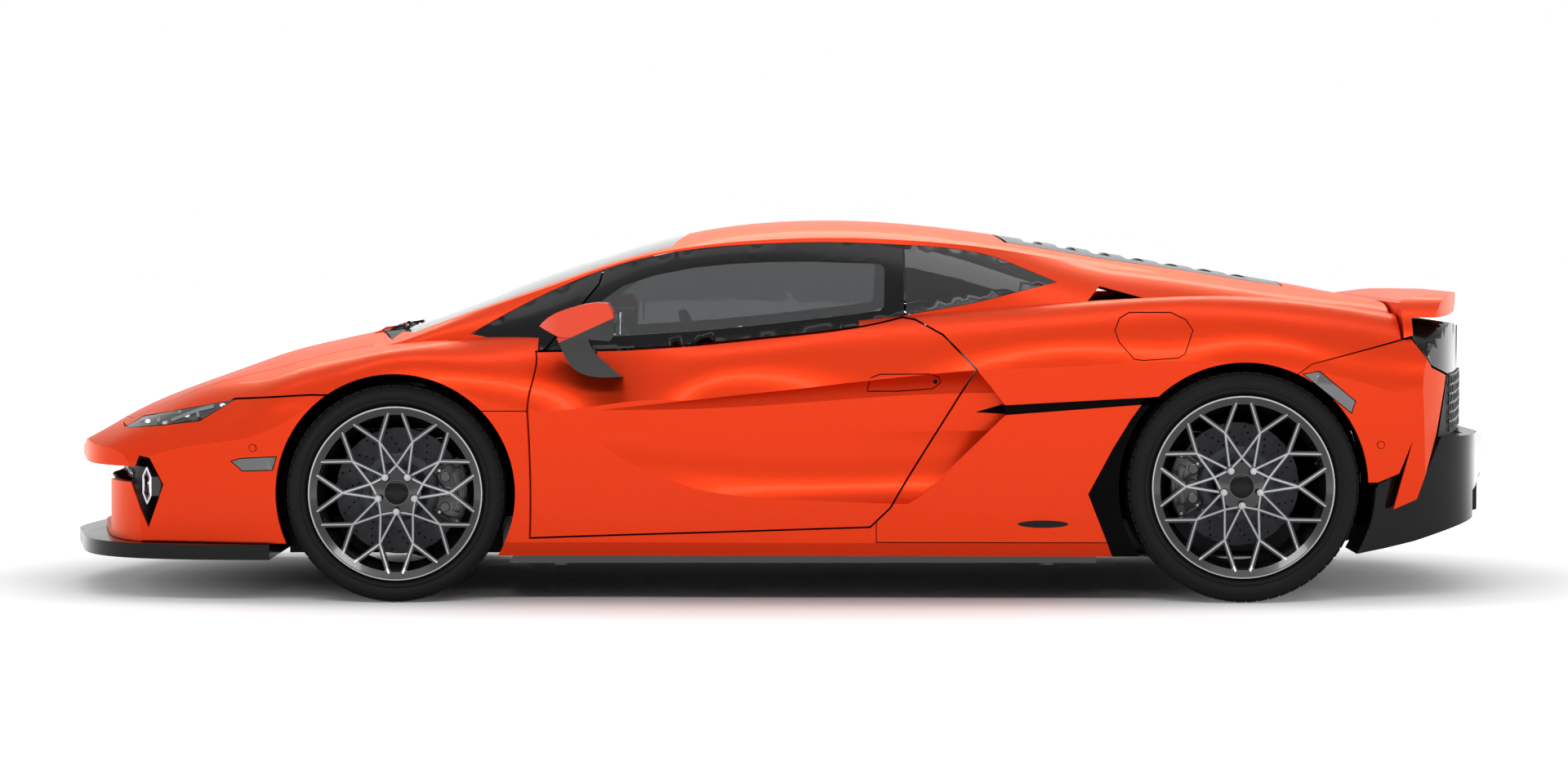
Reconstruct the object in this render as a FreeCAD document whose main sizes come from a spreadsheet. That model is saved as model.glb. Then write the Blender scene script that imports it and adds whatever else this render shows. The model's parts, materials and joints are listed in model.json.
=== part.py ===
import FreeCAD, Part
import Sketcher
import math
import os

# A low two-seat mid-engined car. X runs from nose to tail, Y to the car's right, Z up from the road.

V = FreeCAD.Vector
UP = V(0, 0, 1)
ACROSS = V(0, 1, 0)
ORIGIN = V(0, 0, 0)

# Driving dimensions in millimetres and degrees, kept in the document's sheet
SIZES = [
    ("wheelbase", 2658, "front axle to rear axle"),
    ("front_overhang", 1146, "splitter tip to front axle"),
    ("rear_overhang", 902, "rear axle to diffuser tip"),
    ("body_width", 1996, "over the rear wings"),
    ("roof_height", 1201, "road to the roof's highest point"),
    ("floor_clearance", 118, "road to the flat floor"),
    ("skin_wall", 20, "outer panels with their backing"),
    ("roof_wall", 30, "roof, pillars and buttresses"),
    ("door_hinge_x", -880, "door hinge pin, from the middle of the car's length"),
    ("door_hinge_y", 885, "door hinge pin from the middle"),
    ("door_edge_radius", 116, "door's leading edge round its hinge pin"),
    ("glass_wall", 5, "window glass"),
    ("panel_gap", 6, "shut lines"),
    ("floor_wall", 24, "cabin floor"),
    ("bulkhead_wall", 24, "panels ahead of and behind the cabin"),
    ("well_wall", 6, "luggage well"),
    ("well_width", 820, "luggage well across the car"),
    ("well_length", 560, "luggage well along the car"),
    ("rail_wide", 60, "frame rails"),
    ("rail_tall", 90, "frame rails"),
    ("rail_offset", 420, "frame rails from the middle"),
    ("front_tyre_radius", 343.25, "255/35 R20"),
    ("rear_tyre_radius", 364.2, "325/30 R21"),
    ("front_tyre_width", 255, "255/35 R20"),
    ("rear_tyre_width", 325, "325/30 R21"),
    ("front_rim_radius", 274, "lip of the 20 inch rim"),
    ("rear_rim_radius", 287, "lip of the 21 inch rim"),
    ("front_track_half", 832, "front wheel centre from the middle"),
    ("rear_track_half", 820, "rear wheel centre from the middle"),
    ("rim_wall", 9, "rim barrel"),
    ("front_disc_radius", 200, "front brake disc"),
    ("rear_disc_radius", 195, "rear brake disc"),
    ("disc_wall", 32, "brake disc"),
    ("hub_bore_radius", 30, "bore of the wheel hub"),
    ("hub_length", 44, "wheel hub along its bore"),
    ("stud_circle", 120, "pitch circle of the wheel bolts"),
    ("running_fit", 0.06, "radial clearance of shafts in bores"),
    ("kingpin_offset", 84, "kingpin inboard of the wheel's middle"),
    ("kingpin_radius", 11, "ball pin of the front upright"),
    ("arm_tube", 15, "wishbone tube radius"),
    ("front_arch_radius", 376, "front wing lip"),
    ("rear_arch_radius", 392, "rear wing lip"),
    ("front_liner_radius", 412, "front wheel liner"),
    ("rear_liner_radius", 414, "rear wheel liner"),
    ("liner_wall", 4, "wheel liners"),
    ("steering_wheel_radius", 180, "steering wheel to the rim's middle"),
    ("steering_grip", 15, "steering wheel rim"),
    ("seat_width", 470, "seat across"),
    ("seat_offset", 365, "seat middle from the car's middle"),
    ("engine_length", 640, "engine block"),
    ("engine_width", 620, "engine block"),
    ("engine_height", 430, "engine block"),
    ("seat_clearance", 0.3, "gap between seated pieces"),
]

doc = FreeCAD.newDocument("supercar")
sheet = doc.addObject("Spreadsheet::Sheet", "Sizes")
for row, (alias, value, note) in enumerate(SIZES, 1):
    sheet.set(f"A{row}", alias)
    sheet.set(f"B{row}", str(value))
    sheet.setAlias(f"B{row}", alias)
    sheet.set(f"C{row}", note)
doc.recompute()


def size(alias):
    return float(sheet.get(alias))


# Places that the rest of the car hangs on
NOSE = -(size("front_overhang") + size("wheelbase") + size("rear_overhang")) / 2
FRONT_AXLE = NOSE + size("front_overhang")
REAR_AXLE = FRONT_AXLE + size("wheelbase")
TAIL = REAR_AXLE + size("rear_overhang")
FLOOR = size("floor_clearance")
GAP = size("panel_gap")
SKIN = size("skin_wall")
CLEAR = size("seat_clearance")

# The body lines below were drawn for these sizes and follow when one of them changes
DRAWN_NOSE, DRAWN_FRONT, DRAWN_REAR, DRAWN_TAIL = -2353.0, -1207.0, 1451.0, 2353.0
DRAWN_HALF, DRAWN_ROOF = 998.0, 1201.0


def along(x):
    marks = [(DRAWN_NOSE, NOSE), (DRAWN_FRONT, FRONT_AXLE), (DRAWN_REAR, REAR_AXLE), (DRAWN_TAIL, TAIL)]
    pair = 0 if x < DRAWN_FRONT else (1 if x < DRAWN_REAR else 2)
    (a, real_a), (b, real_b) = marks[pair], marks[pair + 1]
    return real_a + (x - a) * (real_b - real_a) / (b - a)


def aside(y):
    return y * size("body_width") / 2 / DRAWN_HALF


def above(z):
    return z * size("roof_height") / DRAWN_ROOF


# Curves of the body: each line gives x, then y and z, from nose to tail
LINES = {
    "middle": [(-2420, 0, 398), (-2200, 0, 536), (-1960, 0, 650), (-1700, 0, 743), (-1400, 0, 820),
               (-1207, 0, 850), (-970, 0, 856), (0, 0, 850), (613, 0, 880), (1451, 0, 920),
               (1950, 0, 892), (2330, 0, 830)],
    "deck": [(-2420, 360, 388), (-2200, 380, 526), (-1960, 400, 638), (-1700, 420, 732), (-1400, 430, 810),
             (-1207, 440, 842), (-970, 450, 850), (0, 500, 846), (613, 520, 880), (1451, 560, 920),
             (1950, 560, 890), (2330, 540, 830)],
    "belt": [(-2420, 640, 352), (-2200, 672, 484), (-1960, 705, 596), (-1700, 735, 692), (-1400, 765, 772),
             (-1207, 780, 804), (-970, 805, 822), (-770, 842, 797), (-300, 850, 803), (0, 845, 831),
             (420, 832, 885), (953, 866, 925), (1481, 860, 946), (1920, 830, 885), (2330, 740, 820)],
    "shoulder": [(-2420, 745, 318), (-2200, 775, 430), (-1960, 822, 536), (-1700, 878, 628), (-1400, 925, 722),
                 (-1207, 938, 765), (-970, 930, 756), (-770, 915, 722), (-300, 925, 724), (200, 932, 765),
                 (613, 948, 815), (953, 960, 848), (1451, 966, 862), (1950, 925, 795), (2330, 820, 740)],
    "crease": [(-2420, 780, 280), (-2200, 822, 375), (-1960, 868, 466), (-1700, 935, 512), (-1500, 968, 600),
               (-1350, 974, 680), (-1207, 976, 712), (-1060, 974, 690), (-880, 962, 622), (-770, 956, 604),
               (-300, 966, 636), (200, 978, 690), (613, 988, 732), (953, 996, 746), (1451, 998, 754),
               (1700, 992, 722), (1950, 965, 652), (2330, 860, 600)],
}
BODY_STATIONS = [-2420, -2200, -1960, -1700, -1500, -1350, -1207, -1060, -880, -770, -300, 200, 613, 953,
                 1451, 1700, 1950, 2330]
SILL_CREASE, SILL_FOOT = 190, 147
SKIN_FOOT = 186

# Curves of the cabin above the belt
RAIL = [(-1300, 600, 800), (-1183, 690, 830), (-900, 655, 933), (-666, 622, 1014), (-512, 605, 1066),
        (-277, 585, 1116), (-40, 575, 1138), (197, 570, 1144), (407, 565, 1136), (618, 556, 1118),
        (885, 535, 1076), (1200, 505, 1032), (1500, 480, 990), (1750, 465, 960), (1990, 455, 925)]
CROWN = [(-1300, 822), (-1183, 864), (-1032, 923), (-867, 980), (-702, 1042), (-512, 1102), (-277, 1163),
         (-40, 1194), (150, 1201), (407, 1190), (782, 1143), (1112, 1088), (1442, 1035), (1750, 980), (1990, 935)]
CABIN_STATIONS = [-1300, -1183, -900, -666, -512, -277, -40, 197, 407, 618, 885, 1200, 1500, 1750, 1990]


def slopes(places, values):
    steps = [(values[i + 1] - values[i]) / (places[i + 1] - places[i]) for i in range(len(places) - 1)]
    inner = []
    for before, after in zip(steps, steps[1:]):
        inner.append(0.0 if before * after <= 0 else 2 * before * after / (before + after))
    return [steps[0]] + inner + [steps[-1]]


def on_line(line, x):
    """The values of a body line at the place x, with no overshoot between its points."""
    places = [point[0] for point in line]
    index = max(0, min(len(places) - 2, sum(1 for place in places if place <= x) - 1))
    step = places[index + 1] - places[index]
    t = min(1.0, max(0.0, (x - places[index]) / step))
    found = []
    for column in range(1, len(line[0])):
        values = [point[column] for point in line]
        slope = slopes(places, values)
        found.append(values[index] * (2 * t**3 - 3 * t**2 + 1) + slope[index] * step * (t**3 - 2 * t**2 + t)
                     + values[index + 1] * (3 * t**2 - 2 * t**3) + slope[index + 1] * step * (t**3 - t**2))
    return found


def spline(points):
    curve = Part.BSplineCurve()
    curve.interpolate(points)
    return curve.toShape()


def inset(points, wall):
    """Move the points of a half section inward by the wall, square to the section."""
    moved = []
    for i, (y, z) in enumerate(points):
        y0, z0 = points[max(i - 1, 0)]
        y1, z1 = points[min(i + 1, len(points) - 1)]
        run = math.hypot(y1 - y0, z1 - z0)
        moved.append((y + (z1 - z0) / run * wall, z - (y1 - y0) / run * wall))
    return moved


def section_wire(x, half, corners):
    """Close a half section, whose corners split it into smooth runs, with its mirror image."""
    right = [V(along(x), aside(y), above(z)) for y, z in half]
    left = [V(p.x, -p.y, p.z) for p in right]
    edges = []
    top_end = corners[0]
    edges.append(spline(left[top_end:0:-1] + right[:top_end + 1]))
    for a, b in zip(corners, corners[1:]):
        run = right[a:b + 1]
        edges.append(spline(run) if len(run) > 2 else Part.makeLine(run[0], run[1]))
    edges.append(Part.makeLine(right[-1], left[-1]))
    for a, b in reversed(list(zip(corners, corners[1:]))):
        run = left[a:b + 1][::-1]
        edges.append(spline(run) if len(run) > 2 else Part.makeLine(run[0], run[1]))
    return Part.Wire(edges)


def body_section(x, wall):
    """Middle, deck, belt, shoulder and crease, then the flank down to the sill and its foot."""
    half = [tuple(on_line(LINES[name], x)) for name in ("middle", "deck", "belt", "shoulder", "crease")]
    y, z = half[-1]
    drop = z - SILL_CREASE
    half += [(y - 4, z - 0.14 * drop), (y - 12, z - 0.55 * drop), (y - 8, SILL_CREASE), (y - 26, SILL_FOOT)]
    half[0] = (0.0, half[0][1])
    inner = inset(half, wall) if wall else half
    inner[0] = (0.0, half[0][1] - wall)
    return section_wire(x, inner, [4, 7, 8])


def cabin_section(x, wall):
    """Crown, roof side and rail, then the window plane down into the body under the belt."""
    rail_y, rail_z = on_line(RAIL, x)
    crown = on_line(CROWN, x)[0]
    belt_y, belt_z = on_line(LINES["belt"], max(x, -1207))
    foot = (belt_y - 6, min(belt_z - 12, rail_z - 12))
    half = [(0.0, crown), (0.34 * rail_y, rail_z + 0.93 * (crown - rail_z)),
            (0.72 * rail_y, rail_z + 0.62 * (crown - rail_z)), (rail_y, rail_z),
            ((rail_y + foot[0]) / 2 + 6, (rail_z + foot[1]) / 2 + 5), foot]
    inner = inset(half, wall) if wall else half
    inner[0] = (0.0, crown - wall)
    inner[-1] = (inner[-1][0], inner[-1][1] - 60)
    return section_wire(x, inner, [3, 5])


def smooth_run(points, place):
    places = [place(p) for p in points]
    if len(places) > 2:
        return [spline(places)]
    return [Part.makeLine(places[0], places[1])] if len(places) == 2 else []


def outline_face(runs, place):
    """A flat face inside an outline: each run of three or more points is smooth, and lines join the runs."""
    edges = []
    for run, following in zip(runs, runs[1:] + runs[:1]):
        edges += smooth_run(run, place)
        end, start = place(run[-1]), place(following[0])
        if end.distanceToPoint(start) > 1e-6:
            edges.append(Part.makeLine(end, start))
    return Part.Face(Part.Wire(edges))


def corners(points):
    return [[p] for p in points]


def moved_out(runs, reach):
    """The outline's points moved out square to it, or in for a negative reach, and mitred at its corners."""
    if not reach:
        return runs
    points = [p for run in runs for p in run]
    area = sum(p[0] * q[1] - q[0] * p[1] for p, q in zip(points, points[1:] + points[:1]))
    side = reach if area > 0 else -reach
    moved = []
    for before, p, after in zip(points[-1:] + points[:-1], points, points[1:] + points[:1]):
        first, second = math.dist(before, p), math.dist(p, after)
        x0, y0 = (p[1] - before[1]) / first, (before[0] - p[0]) / first
        x1, y1 = (after[1] - p[1]) / second, (p[0] - after[0]) / second
        share = side / max(0.4, 1 + x0 * x1 + y0 * y1)
        moved.append((p[0] + (x0 + x1) * share, p[1] + (y0 + y1) * share))
    found = iter(moved)
    return [[next(found) for _ in run] for run in runs]


def side_prism(runs, near, far, reach=0.0):
    """A prism across the car over an outline in side view."""
    face = outline_face(moved_out(runs, reach), lambda p: V(along(p[0]), near, above(p[1])))
    return face.extrude(V(0, far - near, 0))


def plan_prism(runs, low, high, reach=0.0):
    """An upright prism over an outline in plan."""
    face = outline_face(moved_out(runs, reach), lambda p: V(along(p[0]), aside(p[1]), low))
    return face.extrude(V(0, 0, high - low))


def front_prism(runs, start, end):
    """A prism along the car over an outline seen from the front."""
    face = outline_face(runs, lambda p: V(start, aside(p[0]), above(p[1])))
    return face.extrude(V(end - start, 0, 0))


def mirrored_run(run):
    return [(x, -y) for x, y in reversed(run)]


def plan_both(half_runs, low, high, reach=0.0):
    """A plan prism over a half outline, which starts and ends on the middle line, and its mirror image."""
    first, *between, last = half_runs
    runs = [mirrored_run(first)[:-1] + first] + between + [last + mirrored_run(last)[1:]]
    runs += [mirrored_run(run) for run in reversed(between)]
    return plan_prism(runs, low, high, reach)


def block(x0, x1, y0, y1, z0, z1):
    return Part.makeBox(x1 - x0, y1 - y0, z1 - z0, V(x0, y0, z0))


def pair(x0, x1, y0, y1, z0, z1):
    """A block on the right and its mirror image."""
    right = block(x0, x1, y0, y1, z0, z1)
    return [right, right.mirror(ORIGIN, ACROSS)]


def mirrored(shape):
    return shape.mirror(ORIGIN, ACROSS)


def both(shape):
    return Part.Compound([shape, mirrored(shape)])


def fuse(shapes):
    return shapes[0].multiFuse(shapes[1:]).removeSplitter()


SPECK = 9000


def cut(shape, tools):
    """Take the tools away one after another, solid by solid, and drop the specks that are left."""
    solids = shape.Solids
    for tool in tools:
        solids = [s for solid in solids for s in solid.cut(tool).Solids if s.Volume > SPECK]
    return Part.Compound(solids)


def tidy(shape):
    """The shape's solids without the specks that a cut leaves."""
    solids = [s for s in shape.Solids if s.Volume > SPECK]
    return solids[0] if len(solids) == 1 else Part.Compound(solids)


def bar(start, end, radius):
    return Part.makeCylinder(radius, (end - start).Length, start, end - start)


NODES = {}


def feature(name, shape):
    """A sub-part whose form is free, computed from the sheet's sizes."""
    node = doc.addObject("Part::Feature", name)
    node.Shape = tidy(shape)
    node.Label = name
    NODES[name] = node
    return node


# Master forms: outer faces and the inner faces of their walls
NOSE_RUN = [(-2338, 0), (-2290, 300), (-2236, 560), (-2138, 772), (-1990, 888), (-1800, 960), (-1640, 1040)]
CHIN_RUN = [(-2262, 0), (-2218, 300), (-2170, 540), (-2098, 742), (-1984, 876), (-1800, 958), (-1640, 1040)]
TAIL_RUN = [(1960, 1040), (2045, 905), (2105, 790), (2160, 620), (2215, 360), (2268, 0)]
LIP_UNDERSIDE = 403
TOP = 1400


def set_back(run, wall, direction):
    return [(x + direction * wall, y - (wall if y else 0)) for x, y in run]


def plan_form(nose_run, wall, low, high):
    nose = set_back(nose_run, wall, 1)
    tail = set_back(TAIL_RUN, wall, -1)
    full_nose = mirrored_run(nose)[:-1] + nose
    full_tail = tail + mirrored_run(tail)[1:]
    return plan_prism([full_nose, full_tail], low, high)


def body_form(wall):
    loft = Part.makeLoft([body_section(x, wall) for x in BODY_STATIONS], True)
    chin = plan_form(CHIN_RUN, wall, 0, above(LIP_UNDERSIDE) + wall)
    lip = plan_form(NOSE_RUN, wall, above(LIP_UNDERSIDE) + wall, TOP)
    return loft.common(chin.fuse(lip))


def cabin_form(wall):
    return Part.makeLoft([cabin_section(x, wall) for x in CABIN_STATIONS], True)


body_outer = body_form(0)
body_inner = body_form(SKIN)
body_clear = body_form(SKIN + size("seat_clearance"))
cabin_outer = cabin_form(0)
cabin_inner = cabin_form(size("roof_wall"))
cabin_clear = cabin_form(size("roof_wall") + size("seat_clearance"))
cabin_glass = cabin_form(size("glass_wall"))

# The skin of the lower body, open under the cabin and at the floor
SIDE_SILL_INNER = 860
skin = cut(body_outer, [body_inner, cabin_outer,
                        block(NOSE, TAIL, -aside(SIDE_SILL_INNER), aside(SIDE_SILL_INNER), 0, above(SKIN_FOOT))])
right_space = block(NOSE - 50, TAIL + 50, 0, aside(1100), 0, TOP)

# Channel in the flank: under the crease the side draws in towards the tail and dives behind the rear quarter.
# Each row gives x, depth from the crease, height of the undercut band and height of the foot
CHANNEL = [(-780, -12, 12, 430), (-335, 20, 26, 345), (80, 40, 48, 312), (430, 62, 64, 302), (640, 76, 76, 300),
           (840, 86, 84, 300)]
CHANNEL_END = corners([(-900, 800), (560, 800), (618, 729), (661, 678), (702, 622), (705, 591), (482, 374),
                       (434, 333), (390, 306), (360, 270), (-900, 270)])
CHANNEL_DIVE, CHANNEL_FRONT, CHANNEL_BACK = 60, -500, 790
SLIT = corners([(613, 597), (699, 622), (1134, 646), (1220, 652), (1220, 624), (1134, 624), (705, 591)])
SLIT_SET_BACK = 8


def channel_section(x, wall):
    """Crease, undercut band and the round foot of the channel, set in by the wall and open to the side."""
    y, crease = on_line(LINES["crease"], x)
    depth, band, foot = on_line(CHANNEL, x)
    floor, rise = y - depth - wall, crease - band + wall / 3
    outline = [[(y + 80, crease + wall), (y + 1 - wall / 2, crease + wall), (floor, rise)],
               [(floor - 5, (rise + foot) / 2 + 60), (floor - 4, foot + 90), (floor + 0.4 * depth, foot + 30 - wall / 2),
                (y - wall / 3, foot - wall), (y + 14, foot - 8 - wall)], [(y + 80, foot - 8 - wall)]]
    return outline_face(outline, lambda p: V(along(x), aside(p[0]), above(p[1]))).OuterWire


def channel_form(wall):
    return Part.makeLoft([channel_section(x, wall) for x, *_ in CHANNEL], True)


channel = channel_form(0)
channel_mouth = channel.common(side_prism(CHANNEL_END, 0, aside(1100)))
dive_end = [[(x + CHANNEL_DIVE, z) for x, z in run] for run in CHANNEL_END]
channel_dive = channel.common(side_prism(dive_end, 0, aside(1100))).common(body_inner)
channel_wall = channel_form(SKIN).common(block(along(CHANNEL_FRONT), along(CHANNEL_BACK), 0, aside(1100), 0, TOP))
right_skin = skin.common(right_space).fuse(channel_wall.common(body_outer)).cut(channel_mouth).cut(channel_dive)


def wheel_centre(front):
    if front:
        return V(FRONT_AXLE, size("front_track_half"), size("front_tyre_radius"))
    return V(REAR_AXLE, size("rear_track_half"), size("rear_tyre_radius"))


def wheel_drum(front, radius, near, far):
    """A drum about a wheel's axis, from one distance aside to another."""
    centre = wheel_centre(front)
    return Part.makeCylinder(radius, far - near, V(centre.x, near, centre.z), ACROSS)


ARCH_INSIDE = 500
front_arch = wheel_drum(True, size("front_arch_radius"), ARCH_INSIDE, aside(1100))
rear_arch = wheel_drum(False, size("rear_arch_radius"), ARCH_INSIDE, aside(1100))
steer_room = wheel_drum(True, size("front_arch_radius") + 16, ARCH_INSIDE, aside(905))
LINER_INSIDE = {True: aside(500), False: aside(640)}
LINER_OUTSIDE = {True: size("front_liner_radius") + size("liner_wall"),
                 False: size("rear_liner_radius") + size("liner_wall")}
front_house = wheel_drum(True, LINER_OUTSIDE[True] + size("seat_clearance"), LINER_INSIDE[True], aside(1100))
front_houses = [front_house, mirrored(front_house)]

# Shut lines and openings in side view: x and height
DOOR = corners([(-830, 782), (-830, 205), (281, 242), (342, 300), (612, 732), (510, 838), (427, 883)])
DOOR += [[(387, 890), (245, 859), (-13, 828), (-271, 802), (-503, 787)]]
SIDE_WINDOW = [[(-983, 840), (-666, 1004), (-512, 1060), (-277, 1108), (-40, 1126), (197, 1130), (407, 1121),
                (618, 1100), (710, 1076)], [(885, 1003)],
               [(712, 961), (557, 926), (387, 896), (245, 865), (-13, 834), (-271, 808), (-503, 793), (-756, 788)]]
LAMP = corners([(-2101, 537), (-2044, 571), (-1720, 634), (-1834, 569), (-1958, 553)])
BUMPER = corners([(-2500, SKIN_FOOT), (-2500, 700), (-2176, 700), (-2176, 560), (-2101, 537), (-1958, 553),
                  (-1834, 569), (-1720, 634), (-1473, 650), (-1200, 650), (-1200, SKIN_FOOT)])
SILL = corners([(-1200, 100), (-1200, 601), (-700, 601), (-700, 300), (300, 300), (300, 190), (1500, 190), (1500, 100)])
ARCH_TRIM = corners([(1131, 621), (1101, 580), (1045, 488), (967, 343), (1050, 130), (1220, 130), (1220, 621)])
TAIL_PANEL = corners([(1451, 600), (1662, 750), (1965, 824), (1985, 826), (2050, 736), (2117, 708), (2072, 528),
                      (1998, 325), (1923, 294), (1985, 513), (1941, 407), (1872, 379), (1451, 379)])
REAR_SPACE = corners([(1451, 600), (1662, 750), (1955, 824), (1955, 1300), (2500, 1300), (2500, 100), (1451, 100)])
TAIL_LAMP = corners([(1990.3, 886), (1990.3, 826), (2054, 742), (2121, 714), (2400, 714), (2400, 886)])
TAIL_MESH = corners([(2124, 713.7), (2079, 516.3), (2400, 516.3), (2400, 713.7)])

# Outlines in plan, from the middle to the right
BONNET = [[(-2165, 0), (-2140, 350), (-2085, 560)], [(-1800, 640), (-1500, 690), (-1245, 655)],
          [(-1300, 350), (-1335, 0)]]
COWL = [[(-1335, 0), (-1300, 350), (-1245, 655)], [(-1060, 700)], [(-1060, 0)]]
SCREEN = [[(-1262, 0), (-1240, 350), (-1172, 640)], [(-900, 612), (-512, 560), (-350, 538)],
          [(-312, 300), (-302, 0)]]
COVER = [[(705, 0), (712, 220), (735, 418)], [(1640, 368)], [(1640, 0)]]

FAR = aside(1100)
HINGE = V(along(size("door_hinge_x")), aside(size("door_hinge_y")), 0)


def hinge_drum(radius, low=0, high=TOP):
    """An upright drum round the right door's hinge pin."""
    return Part.makeCylinder(radius, high - low, HINGE + UP * low, UP)


EDGE_RADIUS = size("door_edge_radius")
door_line = side_prism(DOOR, aside(560), FAR, GAP).cut(hinge_drum(EDGE_RADIUS - GAP + 1))
lamp_space = side_prism(LAMP, aside(560), FAR)
lamp_line = side_prism(LAMP, aside(560), FAR, GAP / 2)
bumper_space = side_prism(BUMPER, 0, FAR)
bumper_line = side_prism(BUMPER, 0, FAR, GAP)
sill_space = side_prism(SILL, 0, FAR)
sill_line = side_prism(SILL, 0, FAR, GAP / 2)
trim_space = side_prism(ARCH_TRIM, aside(600), FAR)
trim_line = side_prism(ARCH_TRIM, aside(600), FAR, GAP / 2)
rear_line = side_prism(REAR_SPACE, -FAR, FAR, GAP / 2)
bonnet_space = plan_both(BONNET, 0, TOP)
bonnet_line = plan_both(BONNET, 0, TOP, GAP)
cowl_space = plan_both(COWL, 0, TOP)
screen_space = plan_both(SCREEN, 0, TOP)
COVER_EDGE = [[(x + 6, y) for x, y in COVER[0]]] + COVER[1:]
cover_space = plan_both(COVER_EDGE, 0, TOP)
cover_line = plan_both(COVER, 0, TOP, GAP)
window_space = side_prism(SIDE_WINDOW, aside(300), FAR)
window_pane_space = side_prism(SIDE_WINDOW, aside(300), FAR, -1.5)

# Front panels
cowl = cut(skin.common(cowl_space), [bonnet_line, block(NOSE, 0, -FAR, FAR, 0, above(500))])

# Bonnet hinges: a pin between two lugs on the cowl, in the eye of an arm on the bonnet
BONNET_HINGE = V(along(-1232), 0, above(855))
BONNET_PIN, BONNET_EYE, ARM_NEAR, ARM_FAR, LUG_WALL, LUG_PLAY = 3, 6, 300, 330, 14, 2
BONNET_ARM = corners([(-1232, 860), (-1232, 851), (-1300, 842), (-1318, 822), (-1350, 812), (-1350, 824), (-1314, 840),
                      (-1296, 851)])
COWL_LUG = corners([(-1227, 860), (-1227, 851), (-1262, 845), (-1272, 828), (-1284, 826), (-1284, 838), (-1266, 854)])


def bonnet_barrel(radius, near, far):
    """A stretch of the bonnet's hinge axis."""
    return Part.makeCylinder(radius, far - near, V(BONNET_HINGE.x, near, BONNET_HINGE.z), ACROSS)


bonnet_arm = side_prism(BONNET_ARM, ARM_NEAR, ARM_FAR).fuse(bonnet_barrel(BONNET_EYE, ARM_NEAR, ARM_FAR))
bonnet_bore = bonnet_barrel(BONNET_PIN + size("running_fit"), ARM_NEAR - 1, ARM_FAR + 1)
PIN_NEAR, PIN_FAR = ARM_NEAR - LUG_PLAY - LUG_WALL, ARM_FAR + LUG_PLAY + LUG_WALL
cowl_lugs = [bonnet_barrel(BONNET_PIN, PIN_NEAR, PIN_FAR)]
for near in (PIN_NEAR, ARM_FAR + LUG_PLAY):
    cowl_lugs += [side_prism(COWL_LUG, near, near + LUG_WALL), bonnet_barrel(BONNET_EYE, near, near + LUG_WALL)]
bonnet_skin = skin.common(bonnet_space).cut(block(NOSE, 0, -FAR, FAR, 0, above(300)))
bonnet = fuse([bonnet_skin, bonnet_arm, mirrored(bonnet_arm)]).cut(both(bonnet_bore))
feature("bonnet", bonnet)
feature("cowl_panel", fuse([cowl] + cowl_lugs + [mirrored(lug) for lug in cowl_lugs]))
wing_space = block(along(-2176), along(-700), 0, FAR, 0, TOP)
wing = cut(right_skin.common(wing_space),
           [bonnet_line, cowl_space, lamp_line, bumper_line, sill_line, door_line, front_arch, steer_room,
            block(along(-765), 0, 0, FAR, above(770), TOP),
            block(NOSE, 0, -FAR, aside(300), 0, TOP),
            block(NOSE, FRONT_AXLE, 0, FAR, 0, above(SKIN_FOOT))])
feature("front_wings", both(wing))

# Front bumper with its mouth, slot and lamp pockets
MOUTH_HALF, MOUTH_LOW, MOUTH_HIGH = 585, 205, 370
LAMP_POCKET = corners([(-2025, 457), (-1991, 451), (-1947, 366), (-1997, 229), (-2059, 371)])
pocket_space = side_prism(LAMP_POCKET, aside(600), FAR)
FRONT_MARKER = corners([(-1722, 443), (-1695, 451), (-1580, 458), (-1592, 418), (-1688, 414)])
marker_space = side_prism(FRONT_MARKER, aside(600), FAR)
marker_line = side_prism(FRONT_MARKER, aside(600), FAR, GAP / 2)
mouth = block(along(-2400), along(-2100), -aside(MOUTH_HALF), aside(MOUTH_HALF), above(MOUTH_LOW), above(MOUTH_HIGH))
slot = block(along(-2400), along(-2030), -FAR, FAR, above(MOUTH_HIGH), above(LIP_UNDERSIDE) + SKIN)

# Six-sided daytime lamps in their pockets, turned to face forward and out, with the side markers
DAYTIME_CENTRE = V(along(-2005), aside(815), above(360))
DAYTIME_AXIS = V(-0.92, 0.39, 0)
DAYTIME_RADIUS, DAYTIME_RING, DAYTIME_DEPTH = 60, 14, 34


def hexagon_prism(centre, axis, radius, depth):
    """A six-sided prism from its centre along its axis, one corner up."""
    beside = axis.cross(UP).normalize()
    points = [centre + (UP * math.cos(math.radians(60 * i)) + beside * math.sin(math.radians(60 * i))) * radius
              for i in range(6)]
    return Part.Face(Part.makePolygon(points + [points[0]])).extrude(axis.normalize() * depth)


def daytime_lamp(reach):
    back = DAYTIME_CENTRE - DAYTIME_AXIS.normalize() * DAYTIME_DEPTH
    return hexagon_prism(back, DAYTIME_AXIS, DAYTIME_RADIUS + reach, DAYTIME_DEPTH + reach)


lamp_dish = hexagon_prism(DAYTIME_CENTRE - DAYTIME_AXIS * (DAYTIME_DEPTH - 12), DAYTIME_AXIS,
                          DAYTIME_RADIUS - DAYTIME_RING, DAYTIME_DEPTH)
right_lamp = daytime_lamp(0).cut(lamp_dish)
right_marker = right_skin.common(marker_space)
lamp_hole = daytime_lamp(size("seat_clearance"))
front_lamp = cut(right_skin.common(lamp_space), [bonnet_line])
lamp_parts = front_lamp.Solids + right_lamp.Solids + right_marker.Solids
feature("front_lamps", both(Part.Compound(lamp_parts)))

front_half = cut(right_skin.common(bumper_space),
                 [bonnet_line, lamp_line, front_arch, steer_room, pocket_space, marker_line, lamp_hole])
bumper = cut(fuse([front_half, mirrored(front_half)]), [mouth, slot])
feature("front_bumper", bumper)

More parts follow.
